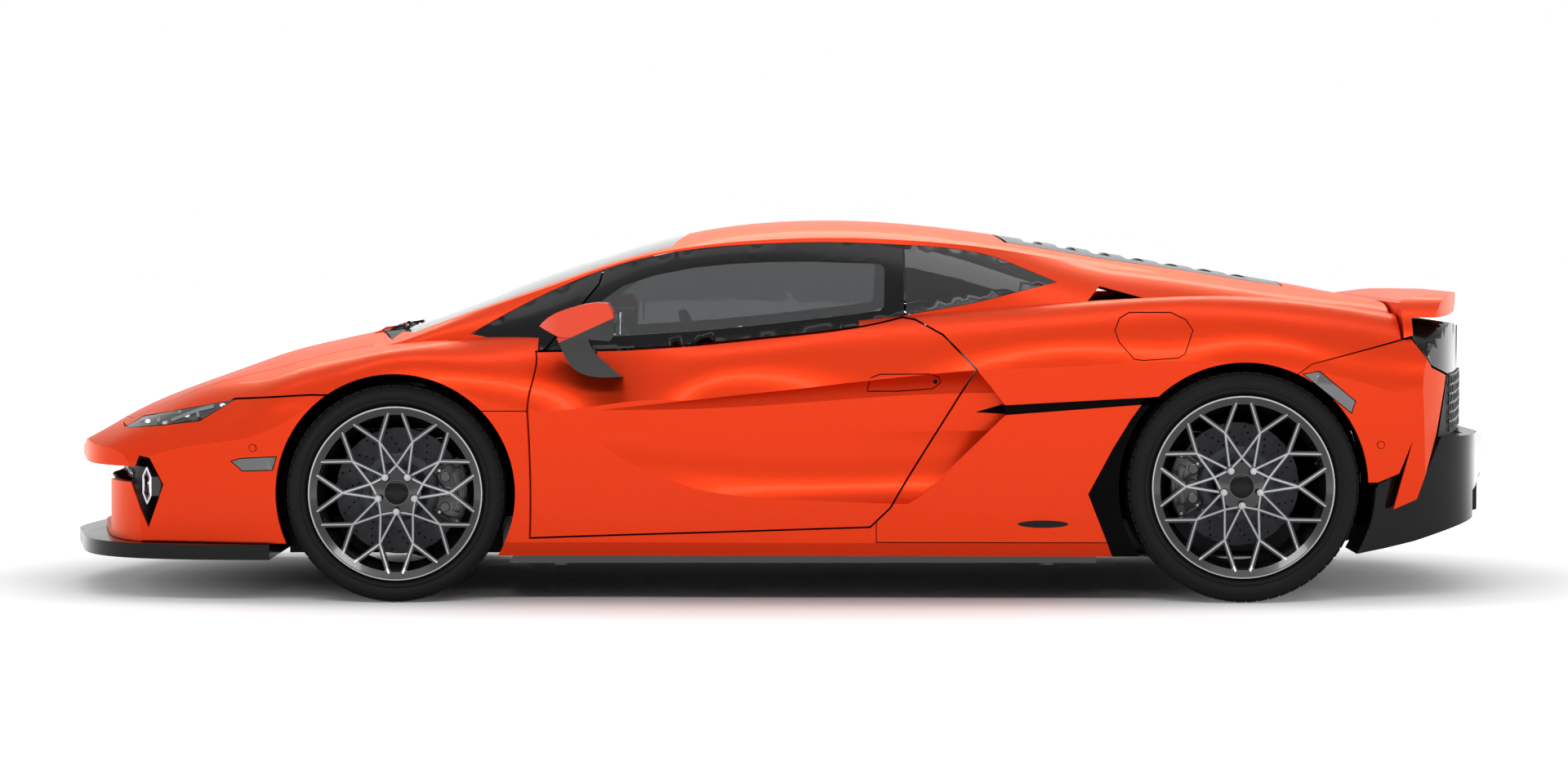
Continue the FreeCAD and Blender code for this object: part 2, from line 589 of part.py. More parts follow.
# Splitter under the bumper
SPLITTER = [[(-2353, 0), (-2304, 300), (-2250, 560), (-2165, 772), (-2010, 905), (-1800, 962), (-1600, 972)],
            [(-1600, 0)]]
SPLITTER_LOW, SPLITTER_HIGH = 136, SKIN_FOOT - 2
splitter = plan_both(SPLITTER, above(SPLITTER_LOW), above(SPLITTER_HIGH))
splitter_ramp = side_prism(corners([(-2400, 168), (-2262, 184), (-2262, 260), (-2400, 260)]), -FAR, FAR)
feature("front_splitter", cut(splitter, [splitter_ramp, front_arch, mirrored(front_arch), steer_room,
                                         mirrored(steer_room)]))

# Grille behind the mouth, slot and pockets
GRILLE_SETBACK, GRILLE_WALL = 60, 10
plate = plan_form(CHIN_RUN, GRILLE_SETBACK, above(SPLITTER_HIGH) + CLEAR, above(LIP_UNDERSIDE) + 8)
plate = plate.cut(plan_form(CHIN_RUN, GRILLE_SETBACK + GRILLE_WALL, 0, TOP))
plate = plate.common(block(along(-2300), along(-1900), -FAR, FAR, 0, TOP))
slats = []
SLAT_COUNT = 5
for i in range(SLAT_COUNT):
    z = above(MOUTH_LOW + (i + 0.5) * (MOUTH_HIGH - MOUTH_LOW) / SLAT_COUNT)
    slat = plan_form(CHIN_RUN, SKIN + 4, z - 5, z + 5).cut(plan_form(CHIN_RUN, GRILLE_SETBACK + 2, 0, TOP))
    slats.append(slat.common(block(along(-2300), along(-2100), -aside(MOUTH_HALF), aside(MOUTH_HALF), 0, TOP)))
feature("front_grille", cut(fuse([plate] + slats), [lamp_hole, mirrored(lamp_hole)]))

# Side panels
side_sill = cut(right_skin.common(sill_space), [door_line, front_arch, steer_room, rear_arch, trim_line])
feature("side_sills", both(side_sill))
quarter_space = block(along(250), along(2000), 0, FAR, 0, TOP)
slit_space = side_prism(SLIT, aside(840), FAR)
quarter = cut(right_skin.common(quarter_space), [door_line, sill_line, rear_arch, trim_line, rear_line, slit_space])
feature("rear_quarters", both(quarter))

# Doors: the outer skin runs to the shut line, and the box inside it is drawn in so that it swings clear
DOOR_INNER = 800
DOOR_DRAW_IN = -26
door_block = body_outer.common(side_prism(DOOR, aside(DOOR_INNER), FAR))
door_inside = body_inner.common(block(along(-1000), along(800), 0, FAR, 0, TOP)).cut(channel_wall)
door_edge = door_inside.cut(side_prism(DOOR, aside(560), FAR, DOOR_DRAW_IN))
door_wheel_room = door_inside.common(wheel_drum(True, LINER_OUTSIDE[True] + 8, ARCH_INSIDE, FAR))
door = cut(door_block, [hinge_drum(EDGE_RADIUS), cabin_outer, channel, door_edge, door_wheel_room])

# Door hinges: cranked arms that swing inside the wing's rear edge, with eyes round a pin on the tub
HINGE_PIN, HINGE_EYE, HINGE_ARM_TALL, HINGE_ARM_WIDE = 8, 13, 20, 18
HINGE_LOW, HINGE_HIGH = above(628), above(726)
HINGE_ARMS = (HINGE_LOW + 20, HINGE_HIGH - 40)
HINGE_ANGLE, ELBOW_ANGLE, ELBOW_REACH, DOOR_REACH = -62, 28, 130, 95
elbow = HINGE + V(math.cos(math.radians(HINGE_ANGLE)), math.sin(math.radians(HINGE_ANGLE)), 0) * ELBOW_REACH


def hinge_beam(start, angle, reach, level):
    """A level beam of the hinge arm, turned in plan about its start."""
    half = HINGE_ARM_WIDE / 2
    beam = block(0, reach, -half, half, level, level + HINGE_ARM_TALL)
    return beam.rotate(ORIGIN, UP, angle).translated(start)


hinge_arms = []
for level in HINGE_ARMS:
    hinge_arms += [hinge_beam(HINGE, HINGE_ANGLE, ELBOW_REACH + 8, level),
                   hinge_beam(elbow, ELBOW_ANGLE, DOOR_REACH, level),
                   Part.makeCylinder(HINGE_EYE, HINGE_ARM_TALL, HINGE + UP * level, UP)]
hinge_bore = hinge_drum(HINGE_PIN + size("running_fit"))
for piece in hinge_arms:
    door = door.fuse(piece)
door = cut(door, [hinge_bore])
feature("door_right", door)
feature("door_left", mirrored(door))

# Roof with its pillars and buttresses
SHOULDER_INTAKE = corners([(1019, 990), (954, 920), (1205, 940)])
air_intake = side_prism(SHOULDER_INTAKE, aside(480), FAR)
lug_room = pair(along(-1300), along(-1225), PIN_NEAR - 2, PIN_FAR + 2, above(780), above(880))
roof = cut(cabin_outer, [cabin_inner, screen_space, window_space, mirrored(window_space), cover_line,
                         air_intake, mirrored(air_intake), *lug_room,
                         door_line, mirrored(door_line), rear_line,
                         block(NOSE, along(-1120), -FAR, FAR, 0, above(790))])
KNUCKLE, LID_PIN, KNUCKLE_HALF, LEAF_HALF = 6, 3, 60, 18
LID_HINGE = V(along(702), 0, above(on_line(CROWN, 702)[0]) - KNUCKLE - 1)


def lid_barrel(radius, near, far):
    """A stretch of the engine cover's hinge, along its axis across the car."""
    return Part.makeCylinder(radius, far - near, V(LID_HINGE.x, near, LID_HINGE.z), ACROSS)


lid_room = block(LID_HINGE.x - KNUCKLE - 5, LID_HINGE.x + 20, -LEAF_HALF - 2, LEAF_HALF + 2, LID_HINGE.z - 12, TOP)
leaves = pair(LID_HINGE.x - 12, LID_HINGE.x, LEAF_HALF + 2, KNUCKLE_HALF, LID_HINGE.z - 5, LID_HINGE.z + 4)
barrels = [lid_barrel(KNUCKLE, LEAF_HALF + 2, KNUCKLE_HALF), lid_barrel(KNUCKLE, -KNUCKLE_HALF, -LEAF_HALF - 2)]
roof = fuse([cut(roof, [lid_room])] + leaves + barrels + [lid_barrel(LID_PIN, -KNUCKLE_HALF, KNUCKLE_HALF)])
feature("roof_shell", roof)
pane = cabin_outer.cut(cabin_glass)
feature("windscreen", pane.common(screen_space).cut(block(0, TAIL, -FAR, FAR, 0, TOP)))
right_pane = pane.common(window_pane_space)
SEAM_FRONT = corners([(-1200, 700), (-1200, 1300), (-500, 1300), (-582, 998), (-756, 780), (-756, 700)])
SEAM_REAR = corners([(400, 800), (400, 1300), (1000, 1300), (1000, 800)])
front_fixed = side_prism(SEAM_FRONT, 0, FAR)
rear_fixed = side_prism(SEAM_REAR, 0, FAR)
door_pane = cut(right_pane, [side_prism(SEAM_FRONT, 0, FAR, GAP), side_prism(SEAM_REAR, 0, FAR, GAP)])
feature("door_glass_right", door_pane)
feature("door_glass_left", mirrored(door_pane))

# Engine cover with louvres across it
cover = cabin_outer.cut(cabin_inner).common(cover_space).cut(block(0, TAIL, -FAR, FAR, 0, above(850)))
LOUVRE_COUNT, LOUVRE_START, LOUVRE_PITCH, LOUVRE_SLOT, LOUVRE_HALF = 7, 800, 112, 62, 310
slots = []
for i in range(LOUVRE_COUNT):
    x = along(LOUVRE_START + i * LOUVRE_PITCH)
    slots.append(block(x, x + LOUVRE_SLOT, -aside(LOUVRE_HALF - 5 * i), aside(LOUVRE_HALF - 5 * i), 0, TOP))
knuckle = lid_barrel(KNUCKLE, -LEAF_HALF, LEAF_HALF)
leaf = block(LID_HINGE.x, LID_HINGE.x + 16, -LEAF_HALF, LEAF_HALF, LID_HINGE.z - 5, LID_HINGE.z + 3)
lid_bore = lid_barrel(LID_PIN + size("running_fit"), -LEAF_HALF, LEAF_HALF)
feature("engine_cover", fuse([cut(cover, slots), knuckle, leaf]).cut(lid_bore))

# Tail: bumper sides, lamp panel, mesh, diffuser and spoiler
REAR_MARKER = corners([(1636, 719), (1684, 727), (1797, 634), (1786, 599)])
tail_side = cut(right_skin.common(side_prism(TAIL_PANEL, aside(600), FAR)),
                [rear_arch, side_prism(REAR_MARKER, aside(600), FAR, GAP / 2)])
feature("rear_bumper", both(tail_side))
rear_marker = right_skin.common(side_prism(REAR_MARKER, aside(600), FAR))
feature("tail_lamps", Part.Compound([skin.common(side_prism(TAIL_LAMP, -FAR, FAR)), both(rear_marker)]))
SPOILER = [[(1961, 830), (1961, 938)], [(1975, 948), (2100, 966), (2190, 968), (2255, 960)], [(2225, 900)],
           [(2085, 893), (1990, 893), (1990, 838)]]
SPOILER_FRONT = [[(-905, 780), (-893, 850), (-820, 925), (-600, 964), (0, 969), (600, 964), (820, 925), (893, 850),
                  (905, 780)]]
SPOILER_PLAN = [[(1900, 0)], [(1900, 960)], [(1970, 928), (2055, 868), (2105, 760), (2160, 560), (2215, 300), (2262, 0)]]
spoiler = side_prism(corners([p for run in SPOILER for p in run]), -FAR, FAR)
spoiler = spoiler.common(front_prism(SPOILER_FRONT, along(1900), along(2400)))
feature("rear_spoiler", spoiler.common(plan_both(SPOILER_PLAN, 0, TOP)))
DIFFUSER = corners([(1880, 372), (1778, 200), (1800, 150), (2000, 190), (2267, 262), (2353, 440), (2345, 478),
                    (2270, 516), (2090, 516), (2006, 330), (1930, 300), (1975, 480), (1945, 400)])
DIFFUSER_PLAN = [[(1700, 0)], [(1700, 945)], [(1900, 930), (2060, 860), (2175, 760), (2248, 560), (2304, 300), (2353, 0)]]
diffuser = side_prism(DIFFUSER, -FAR, FAR).common(plan_both(DIFFUSER_PLAN, 0, TOP))
TUNNEL_WIDTH, TUNNEL_PITCH = 190, 230
tunnels = []
for i in (-2.5, -1.5, -0.5, 0.5, 1.5, 2.5):
    tunnel = side_prism(corners([(1600, 0), (1600, 175), (1830, 178), (2200, 330), (2400, 400), (2400, 0)]),
                        i * TUNNEL_PITCH - TUNNEL_WIDTH / 2, i * TUNNEL_PITCH + TUNNEL_WIDTH / 2)
    tunnels.append(tunnel)
hollow = block(along(1700), along(2200), -aside(600), aside(600), above(350), above(700))
rear_house = wheel_drum(False, LINER_OUTSIDE[False] + size("seat_clearance"), LINER_INSIDE[False], FAR)
feature("rear_diffuser", cut(diffuser, tunnels + [hollow, rear_house, mirrored(rear_house)]))

# Tail exhaust, through the mesh
EXHAUST_HEIGHT, EXHAUST_RADIUS, EXHAUST_WALL = 612, 84, 7


def hexagon(radius, start, end):
    points = [V(start, radius * math.cos(math.radians(60 * i)), above(EXHAUST_HEIGHT)
                + radius * math.sin(math.radians(60 * i))) for i in range(6)]
    return Part.Face(Part.makePolygon(points + [points[0]])).extrude(V(end - start, 0, 0))


mesh = skin.common(side_prism(TAIL_MESH, -FAR, FAR))
feature("rear_grille", mesh.cut(hexagon(EXHAUST_RADIUS + CLEAR, along(1900), along(2400))))
exhaust = hexagon(EXHAUST_RADIUS, along(2130), along(2275))
feature("exhaust_tip", exhaust.cut(hexagon(EXHAUST_RADIUS - EXHAUST_WALL, along(2150), along(2300))))

# Cabin tub: floor, sills and the bulkheads ahead of and behind the seats
FLOOR_TOP = FLOOR + size("floor_wall")
WALL = size("bulkhead_wall")
CABIN_FRONT, CABIN_BACK = along(-900), along(640)
FLOOR_HALF, SILL_INNER, SILL_TOP = aside(855), aside(640), above(350)
DOOR_INSIDE = aside(DOOR_INNER) - 10
REAR_WINDOW_HALF, REAR_WINDOW_LOW, REAR_WINDOW_HIGH = 430, 870, 1070
floor = block(CABIN_FRONT, CABIN_BACK + WALL, -FLOOR_HALF, FLOOR_HALF, FLOOR, FLOOR_TOP)
sill_low = pair(CABIN_FRONT + 60, along(1000), SILL_INNER, FLOOR_HALF, FLOOR, FLOOR_TOP + 30)
sill_box = block(CABIN_FRONT + 60, along(1000), SILL_INNER, DOOR_INSIDE, FLOOR_TOP + 20, SILL_TOP)
sill_foot = block(CABIN_FRONT + 60, along(1000), SILL_INNER, FAR, FLOOR_TOP + 20, above(190) - 2)
sill = fuse([sill_box, sill_foot]).common(body_clear)
front_wall = block(CABIN_FRONT, CABIN_FRONT + WALL, -aside(700), aside(700), FLOOR_TOP, above(790))
rear_low = block(CABIN_BACK, CABIN_BACK + WALL, -DOOR_INSIDE, DOOR_INSIDE, FLOOR_TOP, above(840))
rear_high = block(CABIN_BACK, CABIN_BACK + WALL, -aside(700), aside(700), above(830), TOP).common(cabin_clear)
rear_hole = block(0, TAIL, -REAR_WINDOW_HALF, REAR_WINDOW_HALF, above(REAR_WINDOW_LOW), above(REAR_WINDOW_HIGH))
rear_wall = fuse([rear_low, rear_high]).cut(rear_hole)
JACK_PADS, JACK_RADIUS, JACK_DEPTH = ((along(-700), aside(760)), (along(850), aside(760))), 36, 12
POST_WALL, BRACKET_WALL = 12, 10
post = block(CABIN_FRONT, CABIN_FRONT + POST_WALL, aside(690), HINGE.y + 12, HINGE_LOW - 10, HINGE_HIGH)
post = post.cut(hinge_drum(HINGE_EYE + 6, HINGE_LOW + BRACKET_WALL, HINGE_HIGH - BRACKET_WALL))
brackets = []
for z in (HINGE_LOW, HINGE_HIGH - BRACKET_WALL):
    brackets.append(block(CABIN_FRONT, HINGE.x + 14, HINGE.y - 14, HINGE.y + 12, z, z + BRACKET_WALL))
hinge_pin = hinge_drum(HINGE_PIN, HINGE_LOW, HINGE_HIGH)
hinge_post = fuse([post, hinge_pin] + brackets).common(body_clear)
pads = [Part.makeCylinder(JACK_RADIUS, JACK_DEPTH + 6, V(x, side * y, FLOOR - JACK_DEPTH))
        for x, y in JACK_PADS for side in (-1, 1)]
tub = fuse([floor, sill, mirrored(sill), front_wall, rear_wall, hinge_post, mirrored(hinge_post)] + sill_low + pads)
feature("cabin_tub", cut(tub, front_houses))
rear_pane = block(CABIN_BACK + 8, CABIN_BACK + 8 + size("glass_wall"), -REAR_WINDOW_HALF + CLEAR,
                  REAR_WINDOW_HALF - CLEAR, above(REAR_WINDOW_LOW) + CLEAR, above(REAR_WINDOW_HIGH) - CLEAR)
front_quarter = right_pane.common(front_fixed)
rear_quarter = right_pane.common(rear_fixed)
feature("fixed_glass", Part.Compound([front_quarter, mirrored(front_quarter), rear_quarter, mirrored(rear_quarter),
                                      rear_pane]))

# Front frame with the luggage well, between the wheels
RAIL_IN = size("rail_offset") - size("rail_wide") / 2
RAIL_OUT = size("rail_offset") + size("rail_wide") / 2
RAIL_LOW = above(SPLITTER_HIGH) + CLEAR
RAIL_HIGH = RAIL_LOW + size("rail_tall")
TOWER_HALF, TOWER_TOP = 150, 520
WELL_BACK, WELL_LOW = along(-1420), above(230)
WELL_HALF, WELL_WALL = size("well_width") / 2, size("well_wall")
well_box = block(WELL_BACK - size("well_length"), WELL_BACK, -WELL_HALF, WELL_HALF, WELL_LOW, TOP)
well_hollow = block(WELL_BACK - size("well_length") + WELL_WALL, WELL_BACK - WELL_WALL, -WELL_HALF + WELL_WALL,
                    WELL_HALF - WELL_WALL, WELL_LOW + WELL_WALL, TOP)
lowered = body_clear.translated(V(0, 0, -25))
well = well_box.common(lowered).cut(well_hollow)
front_rails = pair(along(-2080), CABIN_FRONT, RAIL_IN, RAIL_OUT, RAIL_LOW, RAIL_HIGH)
front_towers = pair(FRONT_AXLE - TOWER_HALF, FRONT_AXLE + TOWER_HALF, RAIL_OUT - 50, RAIL_OUT, RAIL_LOW, TOWER_TOP)
tray = block(along(-1599), CABIN_FRONT, -RAIL_OUT, RAIL_OUT, FLOOR, FLOOR + 6)
webs = pair(along(-1599), CABIN_FRONT, RAIL_OUT - 6, RAIL_OUT, FLOOR, RAIL_LOW + 10)
front_beam = block(along(-2080), along(-2040), -aside(480), aside(480), RAIL_LOW, RAIL_HIGH)
feature("front_frame", fuse([well, tray, front_beam] + front_rails + front_towers + webs))

# Rear frame and the engine on it
REAR_START = CABIN_BACK + WALL
REAR_RAIL_LOW = above(170)
REAR_RAIL_HIGH = REAR_RAIL_LOW + size("rail_tall")
rear_rails = pair(REAR_START, along(1778) - CLEAR, RAIL_IN, RAIL_OUT, REAR_RAIL_LOW, REAR_RAIL_HIGH)
rear_towers = pair(REAR_AXLE - TOWER_HALF, REAR_AXLE + TOWER_HALF, RAIL_OUT - 50, RAIL_OUT, REAR_RAIL_LOW, TOWER_TOP)
rear_tray = block(REAR_START, along(1770), -aside(620), aside(620), FLOOR, FLOOR + 6)
rear_webs = pair(REAR_START, along(1770), RAIL_OUT - 6, RAIL_OUT, FLOOR, REAR_RAIL_LOW + 10)
ENGINE_FRONT = along(790)
ENGINE_LOW = REAR_RAIL_LOW + 30
CROSS_WIDE = 60
crosses = [block(x, x + CROSS_WIDE, -RAIL_OUT, RAIL_OUT, REAR_RAIL_LOW, ENGINE_LOW - CLEAR)
           for x in (ENGINE_FRONT + 60, ENGINE_FRONT + size("engine_length") - 120)]
feature("rear_frame", fuse([rear_tray] + rear_rails + rear_towers + rear_webs + crosses))


def bound_box(name, x, y, z, aliases):
    """A plain block whose three sides are bound to the sheet."""
    node = doc.addObject("Part::Box", name)
    for side, alias in zip(("Length", "Width", "Height"), aliases):
        node.setExpression(side, f"Sizes.{alias}")
    node.Placement = FreeCAD.Placement(V(x, y, z), FreeCAD.Rotation())
    node.Label = name
    NODES[name] = node
    return node


bound_box("engine_block", ENGINE_FRONT, -size("engine_width") / 2, ENGINE_LOW,
          ("engine_length", "engine_width", "engine_height"))

# Wheel liners: arched shells over the tyres, and the black trims ahead of the rear wheels
liners = []
for front in (True, False):
    outer = wheel_drum(front, LINER_OUTSIDE[front], LINER_INSIDE[front], FAR)
    inner = wheel_drum(front, LINER_OUTSIDE[front] - size("liner_wall"), LINER_INSIDE[front] - 10, FAR + 10)
    shell = outer.cut(inner).common(body_clear).common(block(NOSE, TAIL, 0, FAR, above(230), TOP))
    liners.append(cut(shell, [cabin_outer]))
trim = cut(right_skin.common(trim_space), [rear_arch])
slit_plug = side_prism(SLIT, aside(840), FAR, -CLEAR)
slit_insert = right_skin.translated(V(0, -SLIT_SET_BACK, 0)).common(slit_plug)
slit_insert = cut(slit_insert, [wheel_drum(False, LINER_OUTSIDE[False] + CLEAR, ARCH_INSIDE, FAR)])
feature("wheel_liners", Part.Compound([both(part) for part in liners + [trim, slit_insert]]))

# Wheels. A wheel is made about the Y axis, its outer face towards +Y, and then moved to its place
SPOKE_WIDE, INNER_WIDE = 15, 11
NODE_SHARE, LUG_SHARE, VERTEX_SHARE, ARM_SPREAD = 0.626, 0.225, 0.32, 14.3
DISC_FACE = -30


def polar(radius, degrees):
    return (radius * math.cos(math.radians(degrees)), radius * math.sin(math.radians(degrees)))


def strut(start, end, wide, depth):
    """An upright bar in the wheel's plane between two points, as wide as asked."""
    run = math.hypot(end[0] - start[0], end[1] - start[1])
    ax, az = (end[0] - start[0]) / run, (end[1] - start[1]) / run
    nx, nz = -az * wide / 2, ax * wide / 2
    start = (start[0] - ax * wide * 0.3, start[1] - az * wide * 0.3)
    points = [V(start[0] + nx, 0, start[1] + nz), V(end[0] + nx, 0, end[1] + nz),
              V(end[0] - nx, 0, end[1] - nz), V(start[0] - nx, 0, start[1] - nz)]
    return Part.Face(Part.makePolygon(points + [points[0]])).extrude(V(0, depth, 0))


def spun(points):
    """A solid of revolution about the Y axis from (distance along, radius) points."""
    places = [V(r, w, 0) for w, r in points]
    return Part.Face(Part.makePolygon(places + [places[0]])).revolve(ORIGIN, ACROSS, 360)


def wheel_shape(lip, half, disc_radius):
    """Barrel, ten-node web of thin spokes, brake disc on the hub with its bore, and five bolts."""
    seat, drop, wall = lip - 20, lip - 36, size("rim_wall")
    face = half - 12
    bore, bore_start = size("hub_bore_radius"), face - 94
    bore_end = face - 86 + size("hub_length")
    disc_back = DISC_FACE - size("disc_wall")
    barrel = spun([(-half, lip), (-half + 10, seat + 2), (-60, seat), (-45, drop), (half - 48, drop),
                   (half - 28, seat), (half - 10, seat + 2), (half, lip), (half, lip - 7),
                   (half - 10, seat - wall + 2), (half - 24, seat - wall), (half - 44, drop - wall),
                   (-49, drop - wall), (-64, seat - wall), (-half, seat - wall + 3)])
    dish = spun([(face - 68, 40), (face - 44, 40), (face - 40, 80), (face - 22, 0.62 * lip), (face, seat - 10),
                 (half - 4, lip - 12), (half - 12, seat - 2), (half - 24, seat - 4.5), (face - 24, drop + 3),
                 (face - 46, 0.62 * lip), (face - 64, 80)])
    core = spun([(bore_start, bore), (bore_end, bore), (bore_end, 0), (bore_end + 6, 0), (bore_end + 6, 40),
                 (bore_end, 76), (bore_start + 12, 84), (DISC_FACE, 96), (DISC_FACE, disc_radius),
                 (disc_back, disc_radius), (disc_back, 86), (DISC_FACE - 10, 86), (bore_start, 74)])
    reach = lip - 4
    vertices = [polar(VERTEX_SHARE * reach, 18 + 72 * k) for k in range(5)]
    lugs = [polar(LUG_SHARE * reach, 54 + 72 * k) for k in range(5)]
    struts = []
    for k in range(10):
        node = polar(NODE_SHARE * reach, 36 * k)
        for spread in (-ARM_SPREAD, ARM_SPREAD):
            struts.append(strut(node, polar(reach, 36 * k + spread), SPOKE_WIDE, 200))
        for ring in (vertices, lugs):
            near = min(ring, key=lambda p: math.dist(p, node))
            struts.append(strut(near, node, INNER_WIDE, 200))
    for k in range(5):
        struts.append(strut(vertices[k], lugs[k], INNER_WIDE, 200))
        struts.append(strut(lugs[k], vertices[(k + 1) % 5], INNER_WIDE, 200))
    web = struts[0].multiFuse(struts[1:]).common(dish)
    bolts = []
    for k in range(5):
        x, z = polar(size("stud_circle") / 2, 54 + 72 * k)
        bolts.append(Part.makeCylinder(9, 20, V(x, face - 46, z), ACROSS))
    whole = barrel
    for piece in [web, core] + bolts:
        whole = whole.fuse(piece)
    return whole


def at_wheel(shape, front, right):
    """Move a shape made about the origin to a wheel's centre, mirrored for the left side."""
    moved = shape.translated(wheel_centre(front))
    return moved if right else mirrored(moved)


def tyre_body(name, front, right):
    """A tyre as a revolved sketch whose tread and bead follow the sheet."""
    axle = "front" if front else "rear"
    half = size(f"{axle}_tyre_width") / 2
    tread = size(f"{axle}_tyre_radius")
    lip = size(f"{axle}_rim_radius")
    rows = [(half - 23.5, lip - 17.5, f"Sizes.{axle}_rim_radius - 17.5"),
            (half - 23.5, lip + 2, f"Sizes.{axle}_rim_radius + 2"),
            (half, (lip + tread) / 2 - 5, f"(Sizes.{axle}_rim_radius + Sizes.{axle}_tyre_radius) / 2 - 5"),
            (half - 15, tread, f"Sizes.{axle}_tyre_radius")]
    points = [(w, r) for w, r, _ in rows] + [(-w, r) for w, r, _ in reversed(rows)]
    body = doc.addObject("PartDesign::Body", name)
    sketch = body.newObject("Sketcher::SketchObject", f"{name}_profile")
    plane = next(f for f in body.Origin.OriginFeatures if f.Role == "XY_Plane")
    sketch.AttachmentSupport = (plane, "")
    sketch.MapMode = "FlatFace"
    for start, end in zip(points, points[1:] + points[:1]):
        sketch.addGeometry(Part.LineSegment(V(*start, 0), V(*end, 0)), False)
    for i in range(8):
        sketch.addConstraint(Sketcher.Constraint("Coincident", i, 2, (i + 1) % 8, 1))
    for i, (w, r, rule) in enumerate(rows):
        height = sketch.addConstraint(Sketcher.Constraint("DistanceY", -1, 1, i, 1, r))
        sketch.setExpression(f"Constraints[{height}]", rule)
    turn = body.newObject("PartDesign::Revolution", f"{name}_turn")
    turn.Profile = sketch
    turn.ReferenceAxis = (sketch, ["H_Axis"])
    turn.Angle = 360
    centre = wheel_centre(front)
    place = centre if right else V(centre.x, -centre.y, centre.z)
    body.Placement = FreeCAD.Placement(place, FreeCAD.Rotation(UP, 90))
    body.Label = name
    NODES[name] = body
    return body


WHEELS = [("front_left", True, False), ("front_right", True, True), ("rear_left", False, False),
          ("rear_right", False, True)]
RIM_INSET = 9.5
front_wheel = wheel_shape(size("front_rim_radius"), size("front_tyre_width") / 2 - RIM_INSET,
                          size("front_disc_radius"))
rear_wheel = wheel_shape(size("rear_rim_radius"), size("rear_tyre_width") / 2 - RIM_INSET,
                         size("rear_disc_radius"))
for name, front, right in WHEELS:
    feature(f"wheel_{name}", at_wheel(front_wheel if front else rear_wheel, front, right))
    tyre_body(f"tyre_{name}", front, right)

# Uprights with their stub axles, ball pins and calipers, made about the wheel's centre
CALIPER_CLEAR = 4
PIN_LOW, PIN_HIGH = 125, 160
EYE_TALL, EYE_RADIUS = 16, 17


def upright_shape(front, caliper_side):
    """Carrier plate, stub axle, two ball pins and a caliper over the disc, towards +X or -X."""
    axle = "front" if front else "rear"
    pin = -size("kingpin_offset")
    disc_radius = size(f"{axle}_disc_radius")
    disc_back = DISC_FACE - size("disc_wall")
    half = size(f"{axle}_tyre_width") / 2 - RIM_INSET
    stub_end = half - 12 - 86 + size("hub_length") - 4
    plate = block(-34, 34, pin - 14, pin + 14, -PIN_LOW, PIN_LOW)
    carrier = Part.makeCylinder(58, 40, V(0, pin - 20, 0), ACROSS)
    stub = Part.makeCylinder(size("hub_bore_radius") - size("running_fit"), stub_end - pin, V(0, pin, 0), ACROSS)
    pins = [Part.makeCylinder(size("kingpin_radius"), PIN_HIGH - PIN_LOW + 10, V(0, pin, PIN_LOW - 10), UP),
            Part.makeCylinder(size("kingpin_radius"), PIN_HIGH - PIN_LOW + 10, V(0, pin, -PIN_HIGH), UP)]
    ring = spun([(pin - 12, 118), (pin - 12, disc_radius + 20), (DISC_FACE + 30, disc_radius + 20),
                 (DISC_FACE + 30, 132), (DISC_FACE + CALIPER_CLEAR, 132), (DISC_FACE + CALIPER_CLEAR, disc_radius + 5),
                 (disc_back - CALIPER_CLEAR, disc_radius + 5), (disc_back - CALIPER_CLEAR, 118)])
    reach = disc_radius + 60
    a, b = polar(reach * 1.3, -30), polar(reach * 1.3, 30)
    wedge = Part.Face(Part.makePolygon([V(0, -300, 0), V(a[0], -300, a[1]), V(b[0], -300, b[1]), V(0, -300, 0)]))
    caliper = ring.common(wedge.extrude(V(0, 600, 0)))
    bracket = block(20, 135, pin - 12, pin + 10, -45, 45)
    whole = fuse([plate, carrier, stub, caliper, bracket] + pins)
    return whole if caliper_side > 0 else whole.mirror(ORIGIN, V(1, 0, 0))


front_upright = upright_shape(True, 1)
rear_upright = upright_shape(False, -1)
feature("front_knuckle_right", at_wheel(front_upright, True, True))
feature("front_knuckle_left", at_wheel(front_upright, True, False))


def wishbone(front, level, spread):
    """Two tubes from the frame to an eye round a ball pin, about the wheel's centre."""
    pin = -size("kingpin_offset")
    inner = RAIL_OUT + CLEAR - wheel_centre(front).y
    tube = size("arm_tube")
    hub = V(0, pin, level)
    eye = Part.makeCylinder(EYE_RADIUS, EYE_TALL, hub - UP * (EYE_TALL / 2), UP)
    arms = [bar(V(side * spread, inner, level), V(side * 8, pin - 10, level), tube * 0.5) for side in (-1, 1)]
    bore = Part.makeCylinder(size("kingpin_radius") + size("running_fit"), 60, hub - UP * 30, UP)
    return fuse([eye] + arms).cut(bore).cut(block(-400, 400, inner - 60, inner, -300, 300))


ARM_LEVEL = (PIN_LOW + PIN_HIGH) / 2 + 2
arms = []
for front in (True, False):
    for level in (ARM_LEVEL, -ARM_LEVEL):
        arm = at_wheel(wishbone(front, level, 120), front, True)
        arms += [arm, mirrored(arm)]
rear_right_upright = at_wheel(rear_upright, False, True)
feature("suspension", Part.Compound(arms + [rear_right_upright, mirrored(rear_right_upright)]))

